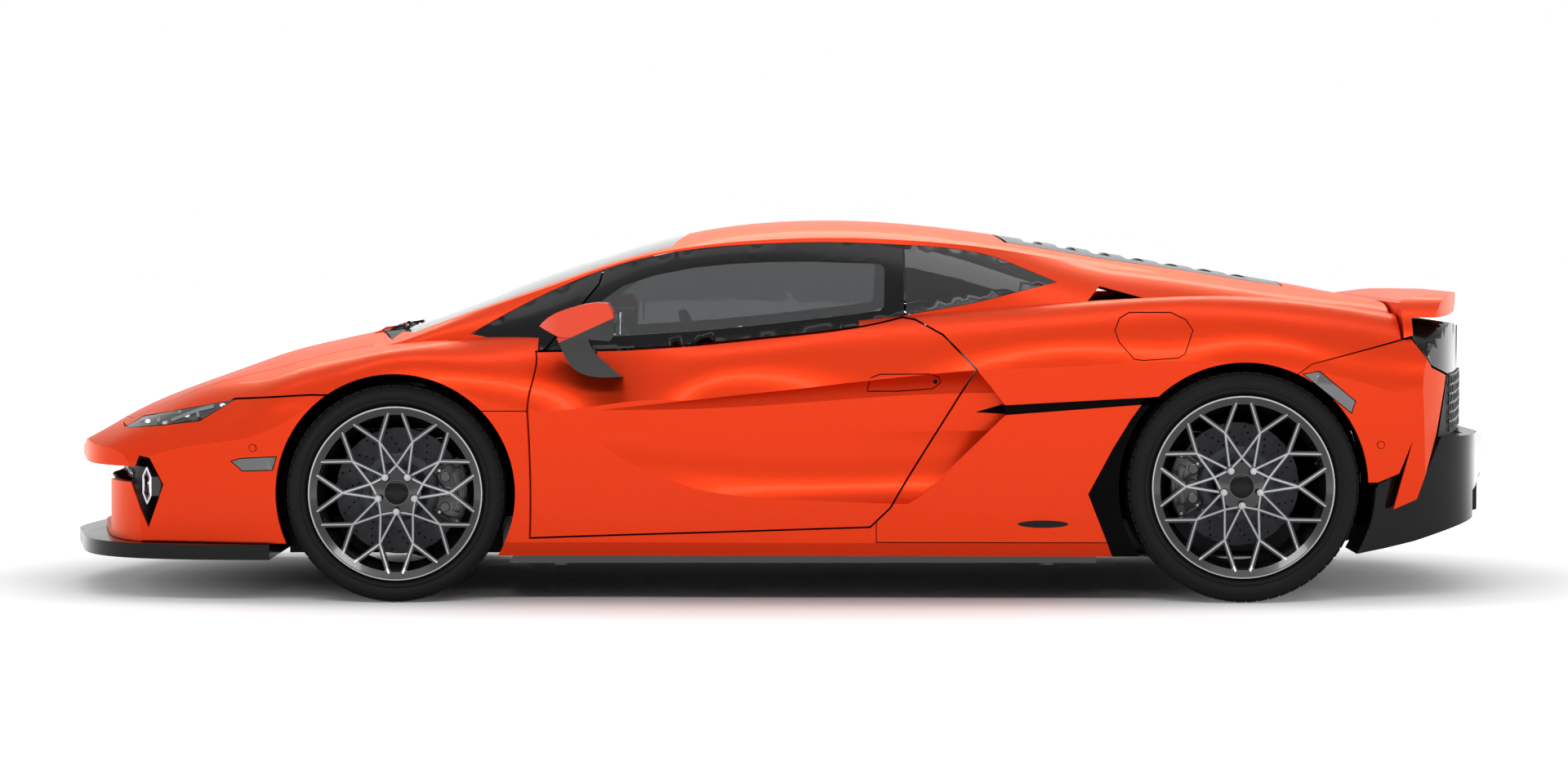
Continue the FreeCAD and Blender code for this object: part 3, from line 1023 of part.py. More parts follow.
# Seats: a cushion and a leaned back in one bucket each
SEAT = [[(-170, FLOOR_TOP + CLEAR), (-190, 300), (-120, 360)], [(-120, 360), (120, 318), (250, 300)],
        [(330, 420), (480, 800), (535, 985)], [(600, 975)], [(570, 780), (470, 420), (420, 300)],
        [(400, FLOOR_TOP + CLEAR)]]
seat_side = size("seat_offset") - size("seat_width") / 2
seat = side_prism(SEAT, seat_side, seat_side + size("seat_width"))
seat_round = front_prism([[(365 - 235, 100), (365 - 235, 700)], [(365 - 225, 830), (365 - 120, 1000), (365, 1010),
                          (365 + 120, 1000), (365 + 225, 830)], [(365 + 235, 700), (365 + 235, 100)]],
                         along(-400), along(800))
feature("seats", both(seat.common(seat_round)))

# Dashboard with the steering column, centre console and steering wheel
DASH = corners([(-870, 560), (-870, 780), (-800, 830), (-640, 852), (-560, 838), (-520, 790), (-540, 700),
                (-600, 600), (-700, 540)])
STEER_CENTRE = V(along(-250), -size("seat_offset"), above(727))
STEER_TILT = 22
STEER_AXIS = V(math.cos(math.radians(STEER_TILT)), 0, math.sin(math.radians(STEER_TILT)))
SHAFT_RADIUS, COLUMN_RADIUS, COLUMN_START, COLUMN_END = 11, 34, 60, 430
shaft_bore = Part.makeCylinder(SHAFT_RADIUS + size("running_fit"), 120, STEER_CENTRE - STEER_AXIS * 150, STEER_AXIS)
column = Part.makeCylinder(COLUMN_RADIUS, COLUMN_END - COLUMN_START, STEER_CENTRE - STEER_AXIS * COLUMN_END, STEER_AXIS)
dash = side_prism(DASH, -aside(690), aside(690)).common(body_clear.fuse(cabin_clear))
feature("dashboard", cut(fuse([dash, column]), front_houses + [shaft_bore]))
CONSOLE = [[(-560, FLOOR_TOP + CLEAR)], [(-560, 520), (-420, 500), (-100, 430), (350, 420), (520, 500)],
           [(600, 560)], [(600, FLOOR_TOP + CLEAR)]]
console = side_prism(CONSOLE, -aside(115), aside(115))
feature("centre_console", console)


def steering_shape():
    """Rim as a torus, three spokes, boss and shaft, about the origin with the shaft down -Z."""
    radius, grip = size("steering_wheel_radius"), size("steering_grip")
    rim = Part.makeTorus(radius, grip)
    boss = Part.makeCylinder(52, 34, V(0, 0, -34))
    shaft = Part.makeCylinder(SHAFT_RADIUS, 110, V(0, 0, -140))
    spokes = []
    for angle in (0, 180, 270):
        spoke = block(40, radius, -16, 16, -16, -4)
        spokes.append(spoke.rotate(ORIGIN, UP, angle))
    return fuse([rim, boss, shaft] + spokes)


steering = steering_shape()
steering.Placement = FreeCAD.Placement(STEER_CENTRE, FreeCAD.Rotation(V(0, 1, 0), V(0, 0, 1), STEER_AXIS, "ZXY"))
feature("steering_wheel", steering)

# Door mirrors on their stalks
MIRROR_HEAD = [[(-752, 869), (-698, 910), (-645, 929), (-561, 944), (-533, 942)], [(-518, 915), (-513, 890)],
               [(-514, 840), (-526, 826)], [(-560, 828)], [(-690, 838)]]
MIRROR_PLAN = [[(-760, 945)], [(-755, 975), (-700, 1050), (-610, 1096), (-505, 1118)], [(-505, 930)]]
MIRROR_STALK = [[(-697, 832), (-677, 785), (-640, 733), (-595, 714), (-549, 709)], [(-493, 711)],
                [(-549, 760), (-580, 790), (-600, 832)]]
head = side_prism(MIRROR_HEAD, aside(938), aside(1118)).common(plan_prism(MIRROR_PLAN, 0, TOP))
stalk = side_prism(MIRROR_STALK, aside(880), aside(990)).cut(body_outer)
mirror_shape = fuse([head, stalk])
feature("mirror_right", mirror_shape)
feature("mirror_left", mirrored(mirror_shape))

doc.recompute()
failed = [o.Name for o in doc.Objects if "Invalid" in o.State or "Error" in o.State]
failed += [name for name, node in NODES.items() if node.Shape.isNull() or not node.Shape.isValid()]
if failed:
    raise RuntimeError(f"these did not build: {failed}")
os.makedirs("parts", exist_ok=True)
for name, node in NODES.items():
    node.Shape.exportStep(f"parts/{name}.step")
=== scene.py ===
"""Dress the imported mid-engined car: finishes, tyres, wheel faces, lamps, cabin and studio."""

import json
import logging
import math
from collections.abc import Callable, Iterable, Iterator, Sequence
from contextlib import contextmanager
from dataclasses import dataclass
from enum import Enum

import bpy
from mathutils import Matrix, Vector

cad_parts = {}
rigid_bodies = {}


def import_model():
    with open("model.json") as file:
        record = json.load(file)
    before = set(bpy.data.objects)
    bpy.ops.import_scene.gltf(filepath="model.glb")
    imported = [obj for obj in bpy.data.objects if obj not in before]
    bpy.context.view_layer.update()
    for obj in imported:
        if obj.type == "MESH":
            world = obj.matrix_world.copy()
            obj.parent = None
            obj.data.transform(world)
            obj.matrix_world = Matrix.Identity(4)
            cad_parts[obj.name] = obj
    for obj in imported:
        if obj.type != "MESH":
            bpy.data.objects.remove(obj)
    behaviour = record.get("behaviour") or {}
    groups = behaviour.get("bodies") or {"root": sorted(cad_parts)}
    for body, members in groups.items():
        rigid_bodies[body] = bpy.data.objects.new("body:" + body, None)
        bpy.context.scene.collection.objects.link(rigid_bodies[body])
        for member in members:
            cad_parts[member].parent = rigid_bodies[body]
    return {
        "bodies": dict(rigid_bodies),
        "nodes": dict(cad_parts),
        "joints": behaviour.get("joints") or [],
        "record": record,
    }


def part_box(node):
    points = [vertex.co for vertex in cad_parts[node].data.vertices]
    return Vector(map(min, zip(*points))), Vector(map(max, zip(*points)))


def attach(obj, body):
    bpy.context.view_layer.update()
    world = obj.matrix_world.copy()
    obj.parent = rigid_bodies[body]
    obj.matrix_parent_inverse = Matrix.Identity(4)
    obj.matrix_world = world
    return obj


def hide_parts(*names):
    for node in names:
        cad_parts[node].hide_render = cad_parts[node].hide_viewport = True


LOG = logging.getLogger("supercar")

Point = tuple[float, float, float]
Place = tuple[float, float]
Shape = bpy.types.Object
Socket = bpy.types.NodeSocket
Colour = tuple[float, float, float]


def linear(red: int, green: int, blue: int) -> Colour:
    """Turn a colour as it is seen, 0 to 255, into the shader's linear values.

    Args:
        red: Red as seen on a screen.
        green: Green as seen on a screen.
        blue: Blue as seen on a screen.

    Returns:
        The three linear values.
    """
    values = []
    for value in (red, green, blue):
        share = value / 255
        values.append(share / 12.92 if share <= 0.04045 else ((share + 0.055) / 1.055) ** 2.4)
    return tuple(values)


class Side(Enum):
    """The two sides of the car, with the sign of Y on each."""

    LEFT = -1
    RIGHT = 1


class Axle(Enum):
    """The two axles, by the words that the node names use."""

    FRONT = "front"
    REAR = "rear"


class Graph:
    """A material's node tree, built one node at a time."""

    def __init__(self, name: str) -> None:
        """Make an empty material with a Principled shader.

        Args:
            name: The material's name.
        """
        self.material = bpy.data.materials.new(name)
        self.material.use_nodes = True
        self.tree = self.material.node_tree
        self.shader = self.tree.nodes["Principled BSDF"]

    def node(self, kind: str, **settings: object) -> bpy.types.Node:
        """Add a node and set its properties.

        Args:
            kind: The node type, such as ShaderNodeTexNoise.
            **settings: Properties of the node.

        Returns:
            The new node.
        """
        made = self.tree.nodes.new(kind)
        for key, value in settings.items():
            setattr(made, key, value)
        return made

    def link(self, start: Socket, end: Socket) -> None:
        """Join two sockets."""
        self.tree.links.new(start, end)

    def object_place(self, scale: Point = (1.0, 1.0, 1.0), turn: Point = (0.0, 0.0, 0.0)) -> Socket:
        """Give the surface's place in the object's own frame.

        Args:
            scale: Stretch of the pattern along each axis.
            turn: Turn of the pattern in radians.

        Returns:
            The vector socket.
        """
        place = self.node("ShaderNodeTexCoord")
        mapping = self.node("ShaderNodeMapping")
        mapping.inputs["Scale"].default_value = scale
        mapping.inputs["Rotation"].default_value = turn
        self.link(place.outputs["Object"], mapping.inputs["Vector"])
        return mapping.outputs["Vector"]

    def noise(self, vector: Socket, scale: float, detail: float = 3.0) -> Socket:
        """Add a noise pattern.

        Args:
            vector: Where it is read.
            scale: Waves per metre.
            detail: How many finer layers it has.

        Returns:
            The factor socket.
        """
        made = self.node("ShaderNodeTexNoise")
        made.inputs["Scale"].default_value = scale
        made.inputs["Detail"].default_value = detail
        self.link(vector, made.inputs["Vector"])
        return made.outputs["Fac"]

    def cells(self, vector: Socket, scale: float) -> Socket:
        """Add a cell pattern.

        Args:
            vector: Where it is read.
            scale: Cells per metre.

        Returns:
            The distance from each cell's middle.
        """
        made = self.node("ShaderNodeTexVoronoi", feature="F1")
        made.inputs["Scale"].default_value = scale
        self.link(vector, made.inputs["Vector"])
        return made.outputs["Distance"]

    def spread(self, value: Socket, low: float, high: float) -> Socket:
        """Map a 0 to 1 pattern to a range.

        Args:
            value: The pattern.
            low: What 0 becomes.
            high: What 1 becomes.

        Returns:
            The mapped value.
        """
        made = self.node("ShaderNodeMapRange")
        made.inputs["To Min"].default_value = low
        made.inputs["To Max"].default_value = high
        self.link(value, made.inputs["Value"])
        return made.outputs["Result"]

    def blend(self, factor: Socket, low: Colour, high: Colour) -> Socket:
        """Mix two colours by a pattern.

        Args:
            factor: The pattern, 0 to 1.
            low: The colour at 0.
            high: The colour at 1.

        Returns:
            The colour socket.
        """
        made = self.node("ShaderNodeMix", data_type="RGBA")
        made.inputs[6].default_value = (*low, 1.0)
        made.inputs[7].default_value = (*high, 1.0)
        self.link(factor, made.inputs[0])
        return made.outputs[2]

    def bump(self, height: Socket, strength: float, distance: float) -> None:
        """Raise the surface by a pattern.

        Args:
            height: The pattern.
            strength: Share of the effect.
            distance: Height in metres at 1.
        """
        made = self.node("ShaderNodeBump")
        made.inputs["Strength"].default_value = strength
        made.inputs["Distance"].default_value = distance
        self.link(height, made.inputs["Height"])
        self.link(made.outputs["Normal"], self.shader.inputs["Normal"])

    def colour(self, pattern: Socket, low: Colour, high: Colour) -> None:
        """Let the base colour go from one colour to another by a pattern."""
        self.link(self.blend(pattern, low, high), self.shader.inputs["Base Color"])

    def rough(self, pattern: Socket, low: float, high: float) -> None:
        """Let the roughness go from one value to another by a pattern."""
        self.link(self.spread(pattern, low, high), self.shader.inputs["Roughness"])

    def settle(self, **values: float | tuple[float, ...]) -> None:
        """Set the shader's own sockets by their names, with _ for a space."""
        for key, value in values.items():
            self.shader.inputs[key.replace("_", " ")].default_value = value


@dataclass(frozen=True)
class Finish:
    """A surface finish, which dresses a material of its own name."""

    name: str

    def build(self) -> bpy.types.Material:
        """Make the material."""
        graph = Graph(self.name)
        self.dress(graph)
        return graph.material

    def dress(self, graph: Graph) -> None:
        """Link the patterns to the shader."""
        raise NotImplementedError


@dataclass(frozen=True)
class MetallicPaint(Finish):
    """Clear coated metallic paint with fine flakes."""

    base: Colour
    deep: Colour
    flake: float = 900.0
    metal: float = 0.6
    coat: float = 0.08
    glance: Colour = (1.0, 0.62, 0.42)

    def dress(self, graph: Graph) -> None:
        """Link the patterns to the shader."""
        place = graph.object_place()
        flakes = graph.cells(place, self.flake)
        graph.colour(graph.spread(flakes, 0.0, 1.0), self.base, self.deep)
        graph.rough(graph.noise(place, 260.0), 0.3, 0.42)
        graph.settle(Metallic=self.metal, Specular_IOR_Level=0.1, Specular_Tint=(*self.glance, 1.0),
                     Coat_Weight=self.coat, Coat_Roughness=0.06, Coat_IOR=1.4)
        graph.bump(graph.noise(place, 420.0, 1.0), 0.05, 0.0004)


@dataclass(frozen=True)
class MouldedFinish(Finish):
    """Plastic or coated metal with a fine grain."""

    base: Colour
    worn: Colour
    rough_low: float
    rough_high: float
    grain: float = 900.0
    relief: float = 0.00012
    metal: float = 0.0
    coat: float = 0.0
    shine: float = 0.5

    def dress(self, graph: Graph) -> None:
        """Link the patterns to the shader."""
        place = graph.object_place()
        cloudy = graph.noise(place, 7.0, 5.0)
        graph.colour(cloudy, self.base, self.worn)
        graph.rough(cloudy, self.rough_low, self.rough_high)
        graph.settle(Metallic=self.metal, Coat_Weight=self.coat, Coat_Roughness=0.05, Specular_IOR_Level=self.shine)
        graph.bump(graph.noise(place, self.grain, 2.0), 0.35, self.relief)


@dataclass(frozen=True)
class WovenComposite(Finish):
    """Twill of carbon tows under lacquer."""

    dark: Colour
    light: Colour
    tow: float = 0.004
    coat: float = 0.6

    def dress(self, graph: Graph) -> None:
        """Link the patterns to the shader."""
        place = graph.object_place(turn=(0.35, 0.2, math.radians(45)))
        checker = graph.node("ShaderNodeTexChecker")
        checker.inputs["Scale"].default_value = 1 / self.tow
        graph.link(place, checker.inputs["Vector"])
        tows = checker.outputs["Fac"]
        graph.colour(tows, self.dark, self.light)
        graph.rough(tows, 0.32, 0.48)
        graph.settle(Coat_Weight=self.coat, Coat_Roughness=0.12)
        graph.bump(tows, 0.15, 0.0002)


@dataclass(frozen=True)
class BrushedMetal(Finish):
    """Metal with fine turning or brushing marks along one direction."""

    base: Colour
    stretch: Point
    rough: float = 0.28
    metal: float = 1.0

    def dress(self, graph: Graph) -> None:
        """Link the patterns to the shader."""
        marks = graph.noise(graph.object_place(scale=self.stretch), 60.0, 4.0)
        dim = tuple(0.72 * value for value in self.base)
        graph.colour(marks, self.base, dim)
        graph.rough(marks, self.rough - 0.08, self.rough + 0.1)
        graph.settle(Metallic=self.metal)
        graph.bump(marks, 0.12, 0.0001)


@dataclass(frozen=True)
class Rubber(Finish):
    """Tyre rubber, with a duller dusty film."""

    base: Colour
    dust: Colour
    rough: float = 0.72

    def dress(self, graph: Graph) -> None:
        """Link the patterns to the shader."""
        place = graph.object_place()
        film = graph.noise(place, 14.0, 6.0)
        graph.colour(film, self.base, self.dust)
        graph.rough(film, self.rough - 0.12, self.rough + 0.1)
        graph.settle(Specular_IOR_Level=0.18)
        graph.bump(graph.noise(place, 700.0, 3.0), 0.25, 0.0002)


@dataclass(frozen=True)
class WindowGlass(Finish):
    """Glass that is tinted through its thickness."""

    tint: Colour
    clear: float = 0.9
    rough: float = 0.0

    def dress(self, graph: Graph) -> None:
        """Link the patterns to the shader."""
        film = graph.noise(graph.object_place(), 5.0, 2.0)
        graph.rough(film, self.rough, self.rough + 0.012)
        graph.colour(film, self.tint, tuple(0.94 * value for value in self.tint))
        graph.settle(Transmission_Weight=self.clear, IOR=1.45)


@dataclass(frozen=True)
class Leather(Finish):
    """Grained leather or suede."""

    base: Colour
    crease: Colour
    grain: float = 620.0
    rough: float = 0.55
    sheen: float = 0.15

    def dress(self, graph: Graph) -> None:
        """Link the patterns to the shader."""
        place = graph.object_place()
        pores = graph.cells(place, self.grain)
        graph.colour(graph.noise(place, 11.0, 4.0), self.base, self.crease)
        graph.rough(pores, self.rough - 0.1, self.rough + 0.15)
        graph.settle(Sheen_Weight=self.sheen, Sheen_Roughness=0.5)
        graph.bump(pores, 0.4, 0.0004)


@dataclass(frozen=True)
class LitLens(Finish):
    """A lens that glows a little."""

    base: Colour
    glow: Colour
    strength: float

    def dress(self, graph: Graph) -> None:
        """Link the patterns to the shader."""
        ribs = graph.noise(graph.object_place(scale=(1.0, 1.0, 6.0)), 90.0, 1.0)
        graph.colour(ribs, self.base, tuple(0.8 * value for value in self.base))
        graph.rough(ribs, 0.08, 0.2)
        graph.settle(Emission_Color=(*self.glow, 1.0), Emission_Strength=self.strength, Coat_Weight=0.6)


@dataclass(frozen=True)
class TwoTone(Finish):
    """Paint above a slanted level and gloss black below it."""

    upper: Colour
    lower: Colour
    slope: Point
    level: float

    def dress(self, graph: Graph) -> None:
        """Link the patterns to the shader."""
        place = graph.object_place()
        height = graph.node("ShaderNodeVectorMath", operation="DOT_PRODUCT")
        height.inputs[1].default_value = self.slope
        graph.link(place, height.inputs[0])
        above = graph.node("ShaderNodeMath", operation="GREATER_THAN")
        above.inputs[1].default_value = self.level
        graph.link(height.outputs["Value"], above.inputs[0])
        graph.colour(above.outputs[0], self.lower, self.upper)
        graph.rough(above.outputs[0], 0.1, 0.34)
        graph.link(graph.spread(above.outputs[0], 0.0, 0.4), graph.shader.inputs["Metallic"])
        graph.settle(Coat_Weight=0.3, Coat_Roughness=0.06, Specular_IOR_Level=0.3)
        graph.bump(graph.noise(place, 420.0, 1.0), 0.05, 0.0004)


FINISHES = {
    "paint": MetallicPaint("orange_paint", linear(232, 66, 24), linear(196, 44, 16)),
    "gloss_black": MouldedFinish("gloss_black", linear(9, 9, 10), linear(14, 14, 15), 0.16, 0.26, 500.0,
                                 0.00002, coat=0.06, shine=0.12),
    "satin_black": MouldedFinish("satin_black", linear(22, 23, 25), linear(31, 32, 34), 0.5, 0.65, shine=0.2),
    "matt_black": MouldedFinish("matt_black", linear(13, 13, 14), linear(20, 20, 21), 0.8, 0.95, shine=0.0),
    "composite": WovenComposite("twill_composite", linear(17, 18, 20), linear(38, 39, 42)),
    "coated_alloy": MouldedFinish("coated_alloy", linear(58, 60, 64), linear(76, 78, 82), 0.38, 0.55, 300.0,
                                  0.0002, metal=0.8),
    "cast_metal": MouldedFinish("cast_metal", linear(98, 100, 104), linear(122, 124, 128), 0.45, 0.65, 240.0,
                                0.0005, metal=0.9),
    "steel": BrushedMetal("brushed_steel", linear(176, 178, 182), (1.0, 8.0, 1.0)),
    "machined": BrushedMetal("machined_rim", linear(168, 170, 174), (6.0, 1.0, 6.0), 0.26),
    "rim_black": MouldedFinish("rim_black", linear(12, 12, 13), linear(17, 17, 19), 0.12, 0.24, 600.0, 0.00003,
                               metal=0.2, coat=0.6),
    "disc": BrushedMetal("brake_disc", linear(52, 53, 56), (1.0, 14.0, 1.0), 0.42, 0.8),
    "caliper": MouldedFinish("caliper_black", linear(20, 20, 22), linear(30, 30, 32), 0.2, 0.35, coat=0.5),
    "tyre": Rubber("tyre_rubber", linear(14, 14, 15), linear(22, 22, 23)),
    "tread": Rubber("tread_rubber", linear(12, 12, 13), linear(20, 20, 21), 0.82),
    "windscreen": WindowGlass("windscreen_glass", linear(222, 230, 228)),
    "side_glass": WindowGlass("side_glass", linear(132, 136, 138)),
    "quarter_glass": WindowGlass("quarter_glass", linear(62, 64, 67)),
    "lamp_cover": WindowGlass("lamp_cover", linear(90, 94, 98), 0.85),
    "leather": Leather("black_leather", linear(24, 24, 26), linear(34, 34, 36)),
    "suede": Leather("black_suede", linear(26, 27, 29), linear(40, 41, 43), 1400.0, 0.85, 0.5),
    "piping": Leather("orange_leather", linear(214, 74, 30), linear(190, 60, 24), 900.0),
    "day_light": LitLens("day_lamp", linear(232, 236, 240), linear(240, 246, 255), 0.6),
    "marker_grey": LitLens("marker_lens", linear(92, 93, 96), linear(110, 112, 116), 0.03),
    "mirror_cap": TwoTone("mirror_cap", linear(224, 62, 24), linear(13, 13, 14), (-0.453, 0.0, 1.0), 1.130),
    "mirror_glass": BrushedMetal("mirror_glass", linear(196, 206, 208), (1.0, 1.0, 1.0), 0.1),
    "screen": LitLens("dark_screen", linear(12, 14, 18), linear(70, 110, 160), 0.06),
    "carpet": Leather("black_carpet", linear(22, 22, 23), linear(34, 34, 35), 900.0, 0.9, 0.6),
    "belt": Leather("belt_webbing", linear(26, 26, 28), linear(38, 38, 40), 1500.0, 0.7, 0.3),
    "bulb": BrushedMetal("lamp_reflector", linear(206, 208, 212), (1.0, 1.0, 1.0), 0.18),
    "lamp_shell": MouldedFinish("lamp_shell", linear(18, 18, 20), linear(26, 26, 28), 0.2, 0.3, 400.0, 0.00005),
    "light_grey": MouldedFinish("lamp_trim", linear(116, 118, 122), linear(130, 132, 136), 0.25, 0.4, 500.0, 0.00005,
                                metal=0.5),
    "red_light": LitLens("red_lens", linear(140, 12, 12), linear(255, 20, 14), 0.35),
}

NODE_FINISH = {
    "bonnet": "paint", "cowl_panel": "satin_black", "front_wings": "paint", "front_lamps": "lamp_cover",
    "front_bumper": "paint", "front_splitter": "gloss_black", "front_grille": "satin_black",
    "side_sills": "paint", "rear_quarters": "paint", "door_right": "paint",
    "door_left": "paint", "roof_shell": "paint", "windscreen": "windscreen", "door_glass_right": "side_glass",
    "door_glass_left": "side_glass", "engine_cover": "gloss_black", "rear_bumper": "paint",
    "tail_lamps": "red_light", "rear_spoiler": "paint", "rear_diffuser": "gloss_black",
    "rear_grille": "satin_black", "exhaust_tip": "steel", "cabin_tub": "composite", "fixed_glass": "side_glass",
    "front_frame": "satin_black", "rear_frame": "coated_alloy", "engine_block": "cast_metal",
    "wheel_liners": "matt_black", "front_knuckle_right": "coated_alloy", "front_knuckle_left": "coated_alloy",
    "suspension": "coated_alloy", "seats": "leather", "dashboard": "suede", "centre_console": "leather",
    "steering_wheel": "suede",
    "mirror_right": "mirror_cap", "mirror_left": "mirror_cap",
}


class Paintshop:
    """Holds one material for each finish, and gives the CAD nodes theirs."""

    def __init__(self) -> None:
        """Start with no material made."""
        self.made: dict[str, bpy.types.Material] = {}

    def finish(self, name: str) -> bpy.types.Material:
        """Give the material of a finish, made when first asked for.

        Args:
            name: The finish's key.

        Returns:
            The material.
        """
        if name not in self.made:
            self.made[name] = FINISHES[name].build()
        return self.made[name]

    def coat(self, piece: Shape, name: str) -> None:
        """Give a piece one finish all over."""
        piece.data.materials.clear()
        piece.data.materials.append(self.finish(name))

    def coat_nodes(self, nodes: dict[str, Shape]) -> None:
        """Give each CAD node its finish.

        Args:
            nodes: The CAD objects by name.
        """
        for name, node in nodes.items():
            finish = NODE_FINISH.get(name)
            if finish is None:
                finish = "rim_black" if name.startswith("wheel") else "tyre"
            if not node.material_slots:
                node.data.materials.append(self.finish(finish))
            for place in node.material_slots:
                place.material = self.finish(finish)


class Bench:
    """Workbench operations on meshes, each started with nothing selected."""

    @staticmethod
    def clear() -> None:
        """Leave edit mode and deselect every object."""
        if bpy.context.object and bpy.context.object.mode != "OBJECT":
            bpy.ops.object.mode_set(mode="OBJECT")
        bpy.ops.object.select_all(action="DESELECT")

    @staticmethod
    def activate(piece: Shape) -> None:
        """Make a piece the only selected and active one."""
        Bench.clear()
        piece.select_set(True)
        bpy.context.view_layer.objects.active = piece

    @staticmethod
    @contextmanager
    def editing(piece: Shape) -> Iterator[None]:
        """Open a piece in edit mode with all of it selected, and leave it again."""
        Bench.activate(piece)
        bpy.ops.object.mode_set(mode="EDIT")
        bpy.ops.mesh.select_all(action="SELECT")
        yield
        bpy.ops.object.mode_set(mode="OBJECT")

    @staticmethod
    def copy(source: Shape) -> Shape:
        """Copy an object with a mesh of its own, and link it to the scene."""
        piece = source.copy()
        piece.data = source.data.copy()
        bpy.context.scene.collection.objects.link(piece)
        return piece

    @staticmethod
    def loop(points: list[Point], fill: str) -> Shape:
        """Make a closed line through points.

        Args:
            points: Its corners in order.
            fill: How it is filled, such as NGON or NOTHING.

        Returns:
            The object.
        """
        Bench.clear()
        bpy.ops.mesh.primitive_circle_add(vertices=len(points), fill_type=fill, location=(0, 0, 0))
        piece = bpy.context.object
        for vertex, point in zip(piece.data.vertices, points):
            vertex.co = point
        return piece

    @staticmethod
    def grid(steps: int) -> Shape:
        """Make a strip of faces one wide, from -0.5 to 0.5 along X."""
        Bench.clear()
        bpy.ops.mesh.primitive_grid_add(x_subdivisions=steps, y_subdivisions=1, size=1)
        return bpy.context.object

    @staticmethod
    def torus(radius: float, thick: float, around: int, across: int) -> Shape:
        """Make a ring about Z.

        Args:
            radius: Its middle radius.
            thick: The radius of its section.
            around: Facets round the ring.
            across: Facets round the section.

        Returns:
            The object.
        """
        Bench.clear()
        bpy.ops.mesh.primitive_torus_add(major_radius=radius, minor_radius=thick, major_segments=around,
                                         minor_segments=across, location=(0, 0, 0), rotation=(0, 0, 0))
        return bpy.context.object

    @staticmethod
    def drop(piece: Shape, missed: Callable[[Vector], bool]) -> None:
        """Delete an active piece's points that a test picks, with what hangs on them.

        Args:
            piece: The object.
            missed: Says of a point's place whether it goes.
        """
        for vertex in piece.data.vertices:
            vertex.select = missed(vertex.co)
        if not any(vertex.select for vertex in piece.data.vertices):
            return
        for part in (*piece.data.edges, *piece.data.polygons):
            part.select = False
        bpy.ops.object.mode_set(mode="EDIT")
        bpy.ops.mesh.delete(type="VERT")
        bpy.ops.object.mode_set(mode="OBJECT")

    @staticmethod
    def freeze(piece: Shape, name: str) -> Shape:
        """Name a piece and move its place into its mesh.

        Args:
            piece: The finished object.
            name: Its name.

        Returns:
            The piece.
        """
        Bench.activate(piece)
        bpy.ops.object.transform_apply(location=True, rotation=True, scale=True)
        piece.name = name
        piece.data.name = name
        return piece

    @staticmethod
    def apply(piece: Shape, kind: str, **settings: object) -> None:
        """Add a modifier, set it and apply it.

        Args:
            piece: The object it works on.
            kind: The modifier's type.
            **settings: Its properties.
        """
        Bench.activate(piece)
        modifier = piece.modifiers.new(kind.lower(), kind)
        for key, value in settings.items():
            setattr(modifier, key, value)
        bpy.ops.object.modifier_apply(modifier=modifier.name)

    @staticmethod
    def smooth(piece: Shape, degrees: float = 35.0) -> None:
        """Shade smooth, with edges kept that turn more than the angle."""
        Bench.activate(piece)
        bpy.ops.object.shade_smooth_by_angle(angle=math.radians(degrees))

    @staticmethod
    def outward(piece: Shape) -> None:
        """Merge doubled points and turn all faces outwards."""
        with Bench.editing(piece):
            bpy.ops.mesh.remove_doubles(threshold=1e-6)
            bpy.ops.mesh.normals_make_consistent(inside=False)

    @staticmethod
    def join(parts: list[Shape], name: str) -> Shape:
        """Join objects into one piece.

        Args:
            parts: The objects.
            name: The piece's name.

        Returns:
            The joined piece.
        """
        Bench.clear()
        for part in parts:
            part.select_set(True)
        bpy.context.view_layer.objects.active = parts[0]
        bpy.ops.object.join()
        return Bench.freeze(parts[0], name)

    @staticmethod
    def box(low: Point, high: Point, bevel: float = 0.0) -> Shape:
        """Make a box between two corners, its edges rounded.

        Args:
            low: Lowest corner.
            high: Highest corner.
            bevel: Radius of its edges.

        Returns:
            The object.
        """
        Bench.clear()
        middle = [(a + b) / 2 for a, b in zip(low, high)]
        bpy.ops.mesh.primitive_cube_add(size=1.0, location=middle)
        piece = bpy.context.object
        piece.scale = [b - a for a, b in zip(low, high)]
        bpy.ops.object.transform_apply(location=True, rotation=True, scale=True)
        if bevel:
            Bench.apply(piece, "BEVEL", width=bevel, segments=2)
        return piece

    @staticmethod
    def plate(points: list[Point], push: Point, bevel: float = 0.0, segments: int = 2) -> Shape:
        """Make a plate from its outline, extruded.

        Args:
            points: The outline's corners in order.
            push: How far and which way it is extruded.
            bevel: Radius of its edges.
            segments: Steps of the rounding.

        Returns:
            The object.
        """
        piece = Bench.loop(points, "NGON")
        with Bench.editing(piece):
            bpy.ops.mesh.extrude_region_move(TRANSFORM_OT_translate={"value": push})
            bpy.ops.mesh.select_all(action="SELECT")
            bpy.ops.mesh.normals_make_consistent(inside=False)
        if bevel:
            Bench.apply(piece, "BEVEL", width=bevel, segments=segments, limit_method="ANGLE",
                        angle_limit=math.radians(25))
        return piece

    @staticmethod
    def lathe(profile: list[Place], centre: Point, steps: int) -> Shape:
        """Spin a closed profile about the car's cross axis.

        Args:
            profile: Distances along Y from the centre, and radii.
            centre: A point on the axis.
            steps: How many facets go round.

        Returns:
            The object.
        """
        x, y, z = centre
        piece = Bench.loop([(x, y + width, z + radius) for width, radius in profile], "NOTHING")
        with Bench.editing(piece):
            bpy.ops.mesh.spin(steps=steps, angle=2 * math.pi, center=centre, axis=(0, 1, 0))
        Bench.outward(piece)
        return piece

